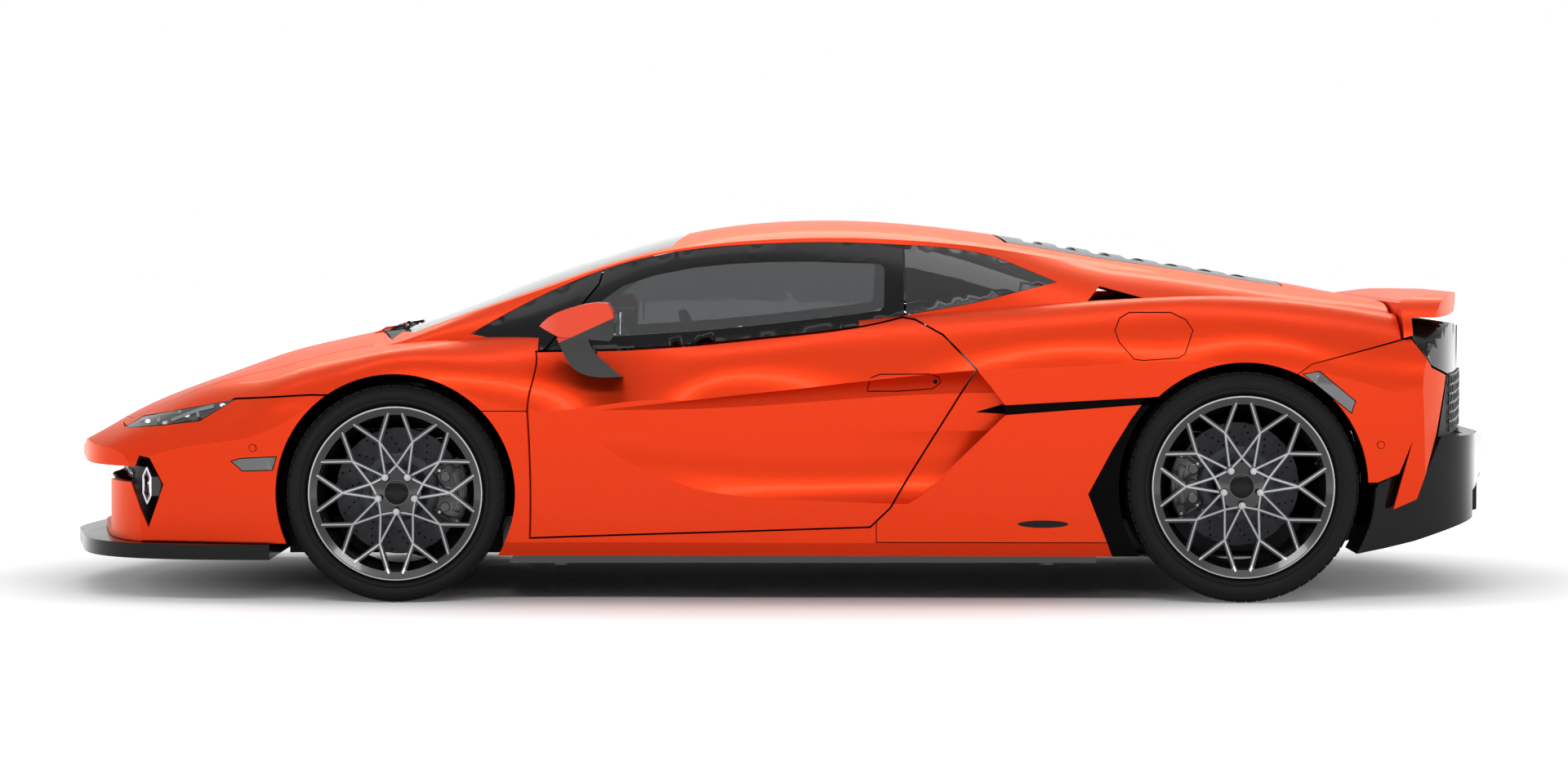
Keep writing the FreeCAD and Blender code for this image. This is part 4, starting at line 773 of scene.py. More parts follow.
    @staticmethod
    def drop_edge(piece: Shape, first: int, second: int) -> None:
        """Delete the edge between two points, in edit mode."""
        bpy.ops.mesh.select_all(action="DESELECT")
        bpy.ops.object.mode_set(mode="OBJECT")
        for edge in piece.data.edges:
            edge.select = set(edge.vertices) == {first, second}
        bpy.ops.object.mode_set(mode="EDIT")
        bpy.context.tool_settings.mesh_select_mode = (False, True, False)
        bpy.ops.mesh.delete(type="EDGE_FACE")
        bpy.context.tool_settings.mesh_select_mode = (True, False, False)

    @staticmethod
    def rod(start: Point, end: Point, radius: float, sides: int = 16) -> Shape:
        """Make a round bar between two points.

        Args:
            start: One end.
            end: The other end.
            radius: Its radius.
            sides: Facets round it.

        Returns:
            The object.
        """
        Bench.clear()
        run = Vector(end) - Vector(start)
        bpy.ops.mesh.primitive_cylinder_add(vertices=sides, radius=radius, depth=run.length,
                                            location=(Vector(start) + Vector(end)) / 2,
                                            rotation=run.to_track_quat("Z", "Y").to_euler())
        return bpy.context.object

    @staticmethod
    def side_plate(outline: Iterable[Place], near: float, far: float, bevel: float = 0.0, segments: int = 2) -> Shape:
        """Make a plate from its (x, z) outline, from one Y to another."""
        return Bench.plate([(x, near, z) for x, z in outline], (0, far - near, 0), bevel, segments)

    @staticmethod
    def flow(points: list[Point], steps: int) -> list[Vector]:
        """Run a smooth curve through points.

        Args:
            points: The points it passes.
            steps: How many parts each stretch gets.

        Returns:
            Places along the curve.
        """
        ends = [Vector(point) for point in points]
        ends = [2 * ends[0] - ends[1]] + ends + [2 * ends[-1] - ends[-2]]
        found = []
        for a, b, c, d in zip(ends, ends[1:], ends[2:], ends[3:]):
            for step in range(steps):
                t = step / steps
                found.append(0.5 * (2 * b + (c - a) * t + (2 * a - 5 * b + 4 * c - d) * t * t
                                    + (3 * b - a - 3 * c + d) * t ** 3))
        return found + [ends[-2]]

    @staticmethod
    def tube(points: list[Point], radius: float, onto: Shape | None = None, detail: int = 3) -> Shape:
        """Bend a round cord through points.

        Args:
            points: Its middle line.
            radius: Its radius.
            onto: A piece whose surface the line is drawn to first.
            detail: How round it is.

        Returns:
            The cord.
        """
        piece = Bench.loop(points, "NOTHING")
        with Bench.editing(piece):
            Bench.drop_edge(piece, 0, len(points) - 1)
        if onto:
            Bench.apply(piece, "SHRINKWRAP", target=onto, wrap_method="NEAREST_SURFACEPOINT", offset=0.0004)
        Bench.activate(piece)
        bpy.ops.object.convert(target="CURVE")
        line = bpy.context.object
        line.data.bevel_depth = radius
        line.data.bevel_resolution = detail
        line.data.use_fill_caps = True
        bpy.ops.object.convert(target="MESH")
        Bench.smooth(bpy.context.object, 50)
        return bpy.context.object

    @staticmethod
    def strap(points: list[Vector], half_width: Point, thick: float) -> Shape:
        """Lay a flat strap along points.

        Args:
            points: Its middle line.
            half_width: From the middle line to one edge.
            thick: Its thickness.

        Returns:
            The strap.
        """
        last = len(points) - 1
        piece = Bench.grid(last)
        for vertex in piece.data.vertices:
            side = 1 if vertex.co.y > 0 else -1
            vertex.co = points[round((vertex.co.x + 0.5) * last)] + Vector(half_width) * side
        Bench.apply(piece, "SOLIDIFY", thickness=thick, offset=0.0)
        Bench.smooth(piece, 50)
        return piece

    @staticmethod
    def mirrored(piece: Shape, name: str) -> Shape:
        """Copy a finished piece to the other side of the car.

        Args:
            piece: The piece on one side.
            name: The copy's name.

        Returns:
            The copy, with its own mesh.
        """
        copy = Bench.copy(piece)
        copy.data.transform(Matrix.Scale(-1, 4, (0, 1, 0)))
        copy.data.flip_normals()
        copy.name = name
        copy.data.name = name
        return copy


class Parting:
    """Copies of a CAD node, parted into its loose solids."""

    @staticmethod
    def split(node: str) -> list[Shape]:
        """Copy a node's mesh and part it into one object a solid.

        Args:
            node: The CAD node's name.

        Returns:
            The parts, which together stand for the node.
        """
        Bench.clear()
        copy = Bench.copy(bpy.data.objects[node])
        Bench.outward(copy)
        with Bench.editing(copy):
            bpy.ops.mesh.separate(type="LOOSE")
        parts = list(bpy.context.selected_objects)
        for index, part in enumerate(parts):
            part.name = f"{node}_part_{index}"
            Bench.smooth(part, 32)
            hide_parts(node)
        return parts

    @staticmethod
    def middle(part: Shape) -> Vector:
        """Give the middle of an object's box."""
        corners = [Vector(corner) for corner in part.bound_box]
        return sum(corners, Vector()) / 8


class Wrap:
    """Bands and discs laid on the body's own surface, as seen from the side."""

    START = 1.35
    STEP = 0.014
    REACH = 0.95

    @staticmethod
    def spaced(points: Sequence[Place], step: float) -> list[Vector]:
        """Fill a line of points so that none is further than a step from the next."""
        found = [Vector(points[0])]
        for start, end in zip(points, points[1:]):
            count = max(1, math.ceil(math.dist(start, end) / step))
            found += [Vector(start).lerp(Vector(end), i / count) for i in range(1, count + 1)]
        return found

    @staticmethod
    def rest(piece: Shape, node: str, raised: float, thick: float, limit: float) -> Shape:
        """Press a flat mesh onto a node from the left side and give it thickness.

        Args:
            piece: The mesh, standing outside the car on the left.
            node: The node it comes to rest on.
            raised: How far its middle stands over the surface.
            thick: Its thickness.
            limit: How far it may travel.

        Returns:
            The piece.
        """
        Bench.apply(piece, "SHRINKWRAP", target=bpy.data.objects[node], wrap_method="PROJECT", use_project_y=True,
                    use_positive_direction=True, use_negative_direction=False, offset=raised, project_limit=limit)
        Bench.drop(piece, lambda place: place.y < -Wrap.START + 0.01)
        Bench.apply(piece, "SOLIDIFY", thickness=thick, offset=0.0)
        return piece

    @staticmethod
    def band(points: Sequence[Place], width: float, node: str, name: str, thick: float = 0.0012,
             raised: float = 0.0004, limit: float = REACH) -> Shape:
        """Lay a band along a line of (x, z) points.

        Args:
            points: The line, closed where its last point is its first.
            width: The band's width.
            node: The node it lies on.
            name: The piece's name.
            thick: Its thickness.
            raised: How far its middle stands over the surface.
            limit: How far inwards the surface is looked for.

        Returns:
            The band on the left side.
        """
        places = Wrap.spaced(points, Wrap.STEP)
        closed = math.dist(points[0], points[-1]) < 1e-6
        last = len(places) - 1
        piece = Bench.grid(last)
        for vertex in piece.data.vertices:
            index = round((vertex.co.x + 0.5) * last)
            before = places[index - 1] if index else (places[last - 1] if closed else places[0])
            after = places[index + 1] if index < last else (places[1] if closed else places[last])
            run = (after - before).normalized()
            place = places[index] + Vector((-run.y, run.x)) * width * (0.5 if vertex.co.y > 0 else -0.5)
            vertex.co = (place.x, -Wrap.START, place.y)
        if closed:
            Bench.outward(piece)
        Wrap.rest(piece, node, raised, thick, limit)
        Bench.smooth(piece, 30)
        return Bench.freeze(piece, name)

    @staticmethod
    def disc(place: tuple[float, float], radii: tuple[float, float], node: str, name: str, thick: float = 0.0015,
             sides: int = 32) -> Shape:
        """Lay an oval plate on a node.

        Args:
            place: Its middle, as (x, z).
            radii: Its half sizes along X and Z.
            node: The node it lies on.
            name: The piece's name.
            thick: Its thickness.
            sides: Points round it.

        Returns:
            The plate on the left side.
        """
        Bench.clear()
        bpy.ops.mesh.primitive_circle_add(vertices=sides, fill_type="TRIFAN", location=(0, 0, 0))
        piece = bpy.context.object
        for vertex in piece.data.vertices:
            vertex.co = (place[0] + radii[0] * vertex.co.x, -Wrap.START, place[1] + radii[1] * vertex.co.y)
        Wrap.rest(piece, node, 0.0004, thick, Wrap.REACH)
        return Bench.freeze(piece, name)


@dataclass
class Studio:
    """Camera, floor, backdrop and lamps."""

    camera_distance: float = 13.5
    camera_height: float = 1.175
    camera_x: float = 0.0125
    pitch: float = 2.34
    lens: float = 92.06
    floor_half: float = 60.0
    # Half sizes of the ellipse of painted shade round the car, where the floor's glow fades out.
    shade_long: float = 2.6
    shade_wide: float = 1.45
    floor_lift: float = 0.6
    ambient: float = 0.27

    def build(self) -> None:
        """Set up the whole studio."""
        self.place_camera()
        self.lay_floor()
        self.light_world()
        self.hang_lamps()
        bpy.context.scene.view_settings.view_transform = "Standard"

    def place_camera(self) -> None:
        """Stand the camera at the photograph's place, level with the roof."""
        data = bpy.data.cameras.new("camera")
        data.lens = self.lens
        data.sensor_width = 36.0
        data.clip_end = 400.0
        camera = bpy.data.objects.new("camera", data)
        camera.location = (self.camera_x, -self.camera_distance, self.camera_height)
        camera.rotation_euler = (math.radians(90 - self.pitch), 0, 0)
        bpy.context.scene.collection.objects.link(camera)
        bpy.context.scene.camera = camera

    @staticmethod
    def seen(tree: bpy.types.NodeTree) -> Socket:
        """Give 1 for rays from the camera, from mirrors and through glass, and 0 for light that spreads."""
        path = tree.nodes.new("ShaderNodeLightPath")
        total = path.outputs["Is Camera Ray"]
        for name in ("Is Glossy Ray", "Is Transmission Ray"):
            most = tree.nodes.new("ShaderNodeMath")
            most.operation = "MAXIMUM"
            tree.links.new(total, most.inputs[0])
            tree.links.new(path.outputs[name], most.inputs[1])
            total = most.outputs[0]
        return total

    def lay_floor(self) -> None:
        """Lay a pale floor that keeps the lamps' shadow, with painted shade where its glow fades out round the car, and
        is white further out.
        """
        Bench.clear()
        bpy.ops.mesh.primitive_plane_add(size=2 * self.floor_half, location=(0, 0, 0))
        floor = bpy.context.object
        floor.name = "floor"
        graph = Graph("pale_floor")
        speckle = graph.noise(graph.object_place(), 3.0, 2.0)
        graph.colour(speckle, (0.86, 0.86, 0.86), (0.88, 0.88, 0.88))
        graph.settle(Roughness=0.9, Specular_IOR_Level=0.1)
        # Painted shade: the floor's glow fades out within an ellipse round the car, so the floor there is darker than
        # further out, besides the lamps' real shadow.
        reach = graph.node("ShaderNodeVectorMath", operation="LENGTH")
        graph.link(graph.object_place(scale=(1 / self.shade_long, 1 / self.shade_wide, 0.0)), reach.inputs[0])
        near = graph.node("ShaderNodeMapRange", interpolation_type="SMOOTHSTEP")
        near.inputs["From Min"].default_value = 0.55
        near.inputs["From Max"].default_value = 1.5
        near.inputs["To Max"].default_value = self.floor_lift
        far = graph.node("ShaderNodeMapRange")
        far.inputs["From Min"].default_value = 1.6
        far.inputs["From Max"].default_value = 4.0
        total = graph.node("ShaderNodeMath", operation="ADD")
        shown = graph.node("ShaderNodeMath", operation="MULTIPLY")
        graph.link(reach.outputs["Value"], near.inputs["Value"])
        graph.link(reach.outputs["Value"], far.inputs["Value"])
        graph.link(near.outputs["Result"], total.inputs[0])
        graph.link(far.outputs["Result"], total.inputs[1])
        graph.link(total.outputs[0], shown.inputs[0])
        graph.link(self.seen(graph.tree), shown.inputs[1])
        graph.link(shown.outputs[0], graph.shader.inputs["Emission Strength"])
        graph.shader.inputs["Emission Color"].default_value = (1, 1, 1, 1)
        floor.data.materials.append(graph.material)

    def light_world(self) -> None:
        """Give the backdrop its white and the world its dim light."""
        world = bpy.data.worlds.new("studio")
        bpy.context.scene.world = world
        world.use_nodes = True
        tree = world.node_tree
        back = tree.nodes["Background"]
        back.inputs["Color"].default_value = (1, 1, 1, 1)
        level = tree.nodes.new("ShaderNodeMapRange")
        level.inputs["To Min"].default_value = self.ambient
        level.inputs["To Max"].default_value = 1.0
        tree.links.new(self.seen(tree), level.inputs["Value"])
        tree.links.new(level.outputs["Result"], back.inputs["Strength"])

    def hang_lamps(self) -> None:
        """Hang one broad soft lamp overhead and one low at each side."""
        lamps = [("top_lamp", (0, 0, 6.5), (0, 0, 0), 9.0, 1.6, 95.0),
                 ("left_lamp", (0, -7.0, 5.2), (math.radians(52), 0, 0), 9.0, 1.2, 280.0),
                 ("right_lamp", (0, 7.0, 5.2), (math.radians(-52), 0, 0), 9.0, 1.2, 230.0),
                 ("nose_lamp", (-9.0, 0, 3.2), (0, math.radians(-70), 0), 3.0, 4.0, 110.0),
                 ("tail_lamp", (9.0, 0, 3.2), (0, math.radians(70), 0), 3.0, 4.0, 110.0)]
        for name, place, turn, wide, tall, power in lamps:
            data = bpy.data.lights.new(name, "AREA")
            data.shape = "RECTANGLE"
            data.size, data.size_y, data.energy = wide, tall, power
            lamp = bpy.data.objects.new(name, data)
            lamp.location, lamp.rotation_euler = place, turn
            bpy.context.scene.collection.objects.link(lamp)


class Fitter:
    """Gives finished pieces their finish and body, one side or both."""

    def __init__(self, shop: Paintshop) -> None:
        """Keep the paintshop."""
        self.shop = shop

    def fit(self, piece: Shape, finish: str, body: str = "body", name: str | None = None) -> Shape:
        """Coat a piece and let it ride a body.

        Args:
            piece: The piece.
            finish: Its finish.
            body: The body it rides.
            name: A name to freeze it under first, where it isn't frozen yet.

        Returns:
            The piece.
        """
        if name:
            Bench.freeze(piece, name)
        self.shop.coat(piece, finish)
        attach(piece, body)
        return piece

    def fit_both(self, piece: Shape, finish: str, body: str = "body",
                 name: str | None = None) -> tuple[Shape, Shape]:
        """Fit a left piece and its mirror image, on bodies named after their sides.

        Args:
            piece: The left piece.
            finish: Their finish.
            body: The body the left one rides.
            name: A name to freeze it under first, where it isn't frozen yet.

        Returns:
            Both pieces.
        """
        if name:
            Bench.freeze(piece, name)
        named = piece.name
        other = Bench.mirrored(piece, named.replace("left", "right") if "left" in named else named + "_right")
        self.fit(piece, finish, body)
        self.fit(other, finish, body.replace("left", "right"))
        return piece, other


@dataclass(frozen=True)
class Corner:
    """One wheel's place and sizes, read from its CAD nodes, in metres."""

    name: str
    body: str
    side: Side
    axle: Axle
    centre: Vector
    radius: float
    half: float
    lip: float

    @classmethod
    def read(cls, axle: Axle, side: Side) -> "Corner":
        """Read a corner from the frame.

        Args:
            axle: Which axle.
            side: Which side.

        Returns:
            The corner.
        """
        name = f"{axle.value}_{side.name.lower()}"
        low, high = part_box(f"tyre_{name}")
        rim_low, rim_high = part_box(f"wheel_{name}")
        return cls(name, f"wheel_{name}", side, axle, (low + high) / 2, (high.z - low.z) / 2,
                   (high.y - low.y) / 2, (rim_high.z - rim_low.z) / 2)

    def at(self, width: float, radius: float, degrees: float) -> Point:
        """Give a point by its distance outward along the axle, its radius and its angle in side view."""
        turn = math.radians(degrees)
        return (self.centre.x + radius * math.cos(turn), self.centre.y + self.side.value * width,
                self.centre.z + radius * math.sin(turn))

    def lathe(self, profile: list[Place], steps: int, name: str) -> Shape:
        """Spin a closed profile of (outward, radius) points about the axle.

        Args:
            profile: The profile.
            steps: Facets round it.
            name: The piece's name.

        Returns:
            The piece, shaded smooth.
        """
        turned = [(self.side.value * width, radius) for width, radius in profile]
        piece = Bench.lathe(turned, tuple(self.centre), steps)
        Bench.smooth(piece)
        return Bench.freeze(piece, name)

    def repeat(self, piece: Shape, count: int) -> Shape:
        """Copy a mesh round the axle, evenly.

        Args:
            piece: The first mesh.
            count: How many there are in the end.

        Returns:
            The piece.
        """
        with Bench.editing(piece):
            bpy.ops.mesh.spin(steps=count - 1, dupli=True, angle=2 * math.pi * (count - 1) / count,
                              center=self.centre, axis=(0, 1, 0))
        return piece


@dataclass
class Tyre:
    """A tyre with sidewall bands, circumferential grooves and tread blocks."""

    corner: Corner
    pitches: int = 64
    groove: float = 0.0065
    ribs: int = 5

    def build(self, fitter: Fitter) -> None:
        """Make the tyre in place of its CAD node."""
        name = f"tyre_{self.corner.name}"
        carcass = self.corner.lathe(self.profile(), 128, name + "_carcass")
        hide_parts(name)
        fitter.fit(carcass, "tyre", self.corner.body)
        fitter.fit(self.tread(), "tread", self.corner.body)

    def profile(self) -> list[Place]:
        """Give the closed section from the inner bead over the tread floor to the outer bead."""
        half, lip, top = self.corner.half, self.corner.lip, self.corner.radius
        middle = (lip + top) / 2
        run = [(half - 0.0235, lip - 0.0172), (half - 0.0235, lip + 0.003), (half - 0.0125, lip + 0.0085),
               (half - 0.0055, lip + 0.0125), (half - 0.0030, lip + 0.0165), (half - 0.0034, lip + 0.0205),
               (half - 0.0062, lip + 0.0225), (half - 0.0022, middle - 0.004), (half - 0.0006, middle + 0.003),
               (half - 0.0022, middle + 0.011), (half - 0.0030, middle + 0.0116), (half - 0.0036, middle + 0.0126),
               (half - 0.0072, top - 0.0185), (half - 0.0130, top - 0.0098),
               (half - 0.0185, top - self.groove - 0.0006)]
        return run + [(-width, radius) for width, radius in reversed(run)]

    def tread(self) -> Shape:
        """Make one pitch of blocks at the top of the tyre and copy it round."""
        corner = self.corner
        pitch = 2 * math.pi * corner.radius / self.pitches
        reach = corner.half - 0.0135
        gap = 0.0085
        wide = (2 * reach - (self.ribs - 1) * gap) / self.ribs
        blocks = []
        for index in range(self.ribs):
            near = -reach + index * (wide + gap)
            edge = abs(near + wide / 2) / reach
            long = pitch * (0.5 if index == self.ribs // 2 else 0.435 if 0 < index < self.ribs - 1 else 0.41)
            slant = 0.34 * wide * (1 if near + wide / 2 > 0 else -1) * (0 if index == self.ribs // 2 else 1)
            top = math.sqrt(corner.radius ** 2 - (long + abs(slant)) ** 2) - 0.0022 * edge ** 2
            floor = corner.radius - self.groove - 0.0016
            x, y, z = corner.centre
            points = [(x - long - slant / 2, y + near, z + floor), (x + long - slant / 2, y + near, z + floor),
                      (x + long + slant / 2, y + near + wide, z + floor),
                      (x - long + slant / 2, y + near + wide, z + floor)]
            blocks.append(Bench.plate(points, (0, 0, top - floor), 0.0011, 1))
        piece = Bench.join(blocks, f"tread_{corner.name}")
        return self.corner.repeat(piece, self.pitches)


@dataclass
class WheelFace:
    """Machined lines on the spokes, the bright lip, bolts, cap and valve of one wheel."""

    corner: Corner
    line: float = 0.0050
    node_share: float = 0.626
    lug_share: float = 0.225
    vertex_share: float = 0.32
    spread: float = 14.3
    steps: int = 7

    def __post_init__(self) -> None:
        """Take the rim's half width and face from the CAD's sizes."""
        low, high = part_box(f"wheel_{self.corner.name}")
        self.rim_half = (high.y - low.y) / 2
        self.face = self.rim_half - 0.012

    @staticmethod
    def polar(radius: float, degrees: float) -> tuple[float, float]:
        """Give a point in the wheel's plane by its radius and angle."""
        return (radius * math.cos(math.radians(degrees)), radius * math.sin(math.radians(degrees)))

    def front(self, radius: float) -> float:
        """How far out the spoke's front lies at a radius."""
        lip = self.corner.lip
        marks = [(0.0, self.face - 0.044), (0.04, self.face - 0.044), (0.08, self.face - 0.040),
                 (0.62 * lip, self.face - 0.022), (lip - 0.030, self.face), (lip - 0.012, self.face + 0.008),
                 (lip, self.face + 0.008)]
        for (near, low), (far, high) in zip(marks, marks[1:]):
            if radius <= far:
                return low + (high - low) * (radius - near) / (far - near)
        return marks[-1][1]

    def strip(self, start: tuple[float, float], end: tuple[float, float], lift: float) -> Shape:
        """Lay one thin raised line along a spoke.

        Args:
            start: Where it starts, as (x, z) from the wheel's centre.
            end: Where it ends.
            lift: How far its top stands over the spoke.

        Returns:
            The strip.
        """
        piece = Bench.grid(self.steps)
        run = Vector((end[0] - start[0], end[1] - start[1]))
        beside = Vector((-run.y, run.x)).normalized() * self.line / 2
        centre = self.corner.centre
        for vertex in piece.data.vertices:
            share, across = vertex.co.x + 0.5, 2 * vertex.co.y
            place = Vector(start) + run * share + beside * across
            out = self.front(place.length) + lift
            vertex.co = (centre.x + place.x, centre.y + self.corner.side.value * out, centre.z + place.y)
        Bench.apply(piece, "SOLIDIFY", thickness=0.0012, offset=0.0)
        return piece

    def build(self, fitter: Fitter) -> None:
        """Make all pieces on the wheel's face."""
        reach = self.corner.lip - 0.004
        vertices = [self.polar(self.vertex_share * reach, 18 + 72 * k) for k in range(5)]
        lugs = [self.polar(self.lug_share * reach, 54 + 72 * k) for k in range(5)]
        strips = []
        for k in range(10):
            node = self.polar(self.node_share * reach, 36 * k)
            strips.append(self.strip(node, self.polar(reach - 0.003, 36 * k + self.spread), 0.0005))
            strips.append(self.strip(node, self.polar(reach - 0.003, 36 * k - self.spread), 0.0006))
            for ring, lift in ((vertices, 0.0007), (lugs, 0.0008)):
                near = min(ring, key=lambda p: math.dist(p, node))
                strips.append(self.strip(near, node, lift))
        for k in range(5):
            strips.append(self.strip(vertices[k], lugs[k], 0.0009))
            strips.append(self.strip(lugs[k], vertices[(k + 1) % 5], 0.0010))
        lines = Bench.join(strips, f"machined_lines_{self.corner.name}")
        Bench.outward(lines)
        lip, half = self.corner.lip, self.rim_half
        ring = self.corner.lathe([(half - 0.0010, lip - 0.0052), (half + 0.0006, lip - 0.0046),
                                  (half + 0.0009, lip - 0.0009), (half - 0.0004, lip + 0.0002),
                                  (half - 0.0030, lip + 0.0002), (half - 0.0030, lip - 0.0046)], 128,
                                 f"rim_ring_{self.corner.name}")
        cap = self.corner.lathe([(self.face - 0.0362, 0.0), (self.face - 0.0362, 0.0375), (self.face - 0.0345, 0.0375),
                                 (self.face - 0.0325, 0.0350), (self.face - 0.0312, 0.0200), (self.face - 0.0308, 0.0)],
                                48, f"hub_cap_{self.corner.name}")
        for piece, finish in ((lines, "machined"), (ring, "machined"), (cap, "gloss_black"),
                              (self.bolts(), "steel"), (self.valve(), "satin_black")):
            fitter.fit(piece, finish, self.corner.body)

    def bolts(self) -> Shape:
        """Make the five wheel bolts with washers and twelve-sided heads."""
        heads = []
        for k in range(5):
            out = self.face - 0.0262
            base = self.corner.at(out - 0.001, 0.060, 54 + 72 * k)
            mid = self.corner.at(out + 0.0025, 0.060, 54 + 72 * k)
            top = self.corner.at(out + 0.0120, 0.060, 54 + 72 * k)
            washer = Bench.rod(base, mid, 0.0105, 24)
            head = Bench.rod(mid, top, 0.0078, 6)
            Bench.apply(head, "BEVEL", width=0.0010, segments=2)
            heads += [washer, head]
        return Bench.join(heads, f"wheel_bolts_{self.corner.name}")

    def valve(self) -> Shape:
        """Make the valve with its cap, between two spokes near the rim."""
        lip = self.corner.lip
        foot = self.corner.at(self.face - 0.030, lip - 0.034, 18)
        neck = self.corner.at(self.face - 0.012, lip - 0.044, 18)
        tip = self.corner.at(self.face - 0.002, lip - 0.049, 18)
        stem = Bench.rod(foot, neck, 0.0028, 12)
        cap = Bench.rod(neck, tip, 0.0042, 12)
        Bench.apply(cap, "BEVEL", width=0.0008, segments=1)
        return Bench.join([stem, cap], f"valve_{self.corner.name}")


@dataclass
class Brake:
    """Friction ring on the wheel's disc, its drilled holes painted as black discs of shade, and a ribbed caliper over
    it.
    """

    corner: Corner
    disc: float
    face: float = -0.030
    thick: float = 0.032

    def build(self, fitter: Fitter) -> None:
        """Make the disc's rings and the caliper's shell."""
        face, back, rim = self.face, self.face - self.thick, self.disc
        for name, near, far in (("outer", face, 0.0008), ("inner", back, -0.0008)):
            ring = self.corner.lathe([(near - far / 2, 0.119), (near + far, 0.120), (near + far, rim - 0.0015),
                                      (near - far / 2, rim)], 96, f"brake_ring_{name}_{self.corner.name}")
            fitter.fit(ring, "disc", self.corner.body)
        # Matt black discs stand in for the drilled holes: painted shade inside them.
        fitter.fit(self.painted_holes(), "matt_black", self.corner.body)
        hat = self.corner.lathe([(face + 0.0004, 0.0885), (face + 0.0040, 0.0900), (face + 0.0045, 0.1120),
                                 (face + 0.0022, 0.1185), (face + 0.0004, 0.1185)], 96,
                                f"brake_hat_{self.corner.name}")
        fitter.fit(hat, "coated_alloy", self.corner.body)
        body = f"knuckle_{self.corner.side.name.lower()}" if self.corner.axle is Axle.FRONT else "body"
        fitter.fit(self.caliper(), "caliper", body)
        fitter.fit(self.screws(), "steel", body)

    def middle(self) -> int:
        """Give the angle at which the caliper stands: behind the front axle, before the rear one."""
        return 0 if self.corner.axle is Axle.FRONT else 180

    def painted_holes(self) -> Shape:
        """Make one slanted row of matt black discs, painted shade where the drilled holes are, and copy it round the
        ring.
        """
        row = []
        for index in range(4):
            radius = 0.130 + index * (self.disc - 0.142) / 3
            angle = 90 + 4.2 * index
            row.append(Bench.rod(self.corner.at(self.face + 0.0006, radius, angle),
                                 self.corner.at(self.face + 0.0011, radius, angle), 0.0034, 10))
        piece = Bench.join(row, f"brake_drillings_{self.corner.name}")
        return self.corner.repeat(piece, 18)

    def sector(self, near: float, far: float, inside: float, outside: float, half_angle: float,
               bevel: float) -> Shape:
        """Make a rounded plate over part of the ring, on the caliper's side of the axle."""
        middle = self.middle()
        steps = 9
        angles = [middle - half_angle + 2 * half_angle * i / steps for i in range(steps + 1)]
        points = [self.corner.at(near, outside, angle) for angle in angles]
        points += [self.corner.at(near, inside, angle) for angle in reversed(angles)]
        push = (0, self.corner.side.value * (far - near), 0)
        piece = Bench.plate(points, push, bevel, 2)
        Bench.smooth(piece, 40)
        return piece

    def caliper(self) -> Shape:
        """Make the caliper's outer half with a rib, a bridge and piston bosses."""
        rim = self.disc
        parts = [self.sector(-0.0245, 0.0042, 0.126, rim + 0.0215, 31, 0.006),
                 self.sector(-0.0985, 0.0015, rim + 0.0065, rim + 0.0225, 24, 0.004),
                 self.sector(0.0030, 0.0068, rim - 0.020, rim + 0.004, 20, 0.0015)]
        middle = self.middle()
        for angle in (-19, -1, 17):
            parts.append(Bench.rod(self.corner.at(-0.010, rim - 0.045, middle + angle),
                                   self.corner.at(0.0075, rim - 0.045, middle + angle), 0.0165, 28))
            Bench.apply(parts[-1], "BEVEL", width=0.0025, segments=2, limit_method="ANGLE")
        return Bench.join(parts, f"caliper_{self.corner.name}")

    def screws(self) -> Shape:
        """Make the bright bridge screws and bleed nipples."""
        middle = self.middle()
        parts = []
        for angle, radius in ((-27, 0.145), (27, 0.145), (-27, self.disc + 0.008), (27, self.disc + 0.008)):
            parts.append(Bench.rod(self.corner.at(0.002, radius, middle + angle),
                                   self.corner.at(0.0105, radius, middle + angle), 0.0058, 6))
            Bench.apply(parts[-1], "BEVEL", width=0.0008, segments=1)
        return Bench.join(parts, f"caliper_screws_{self.corner.name}")


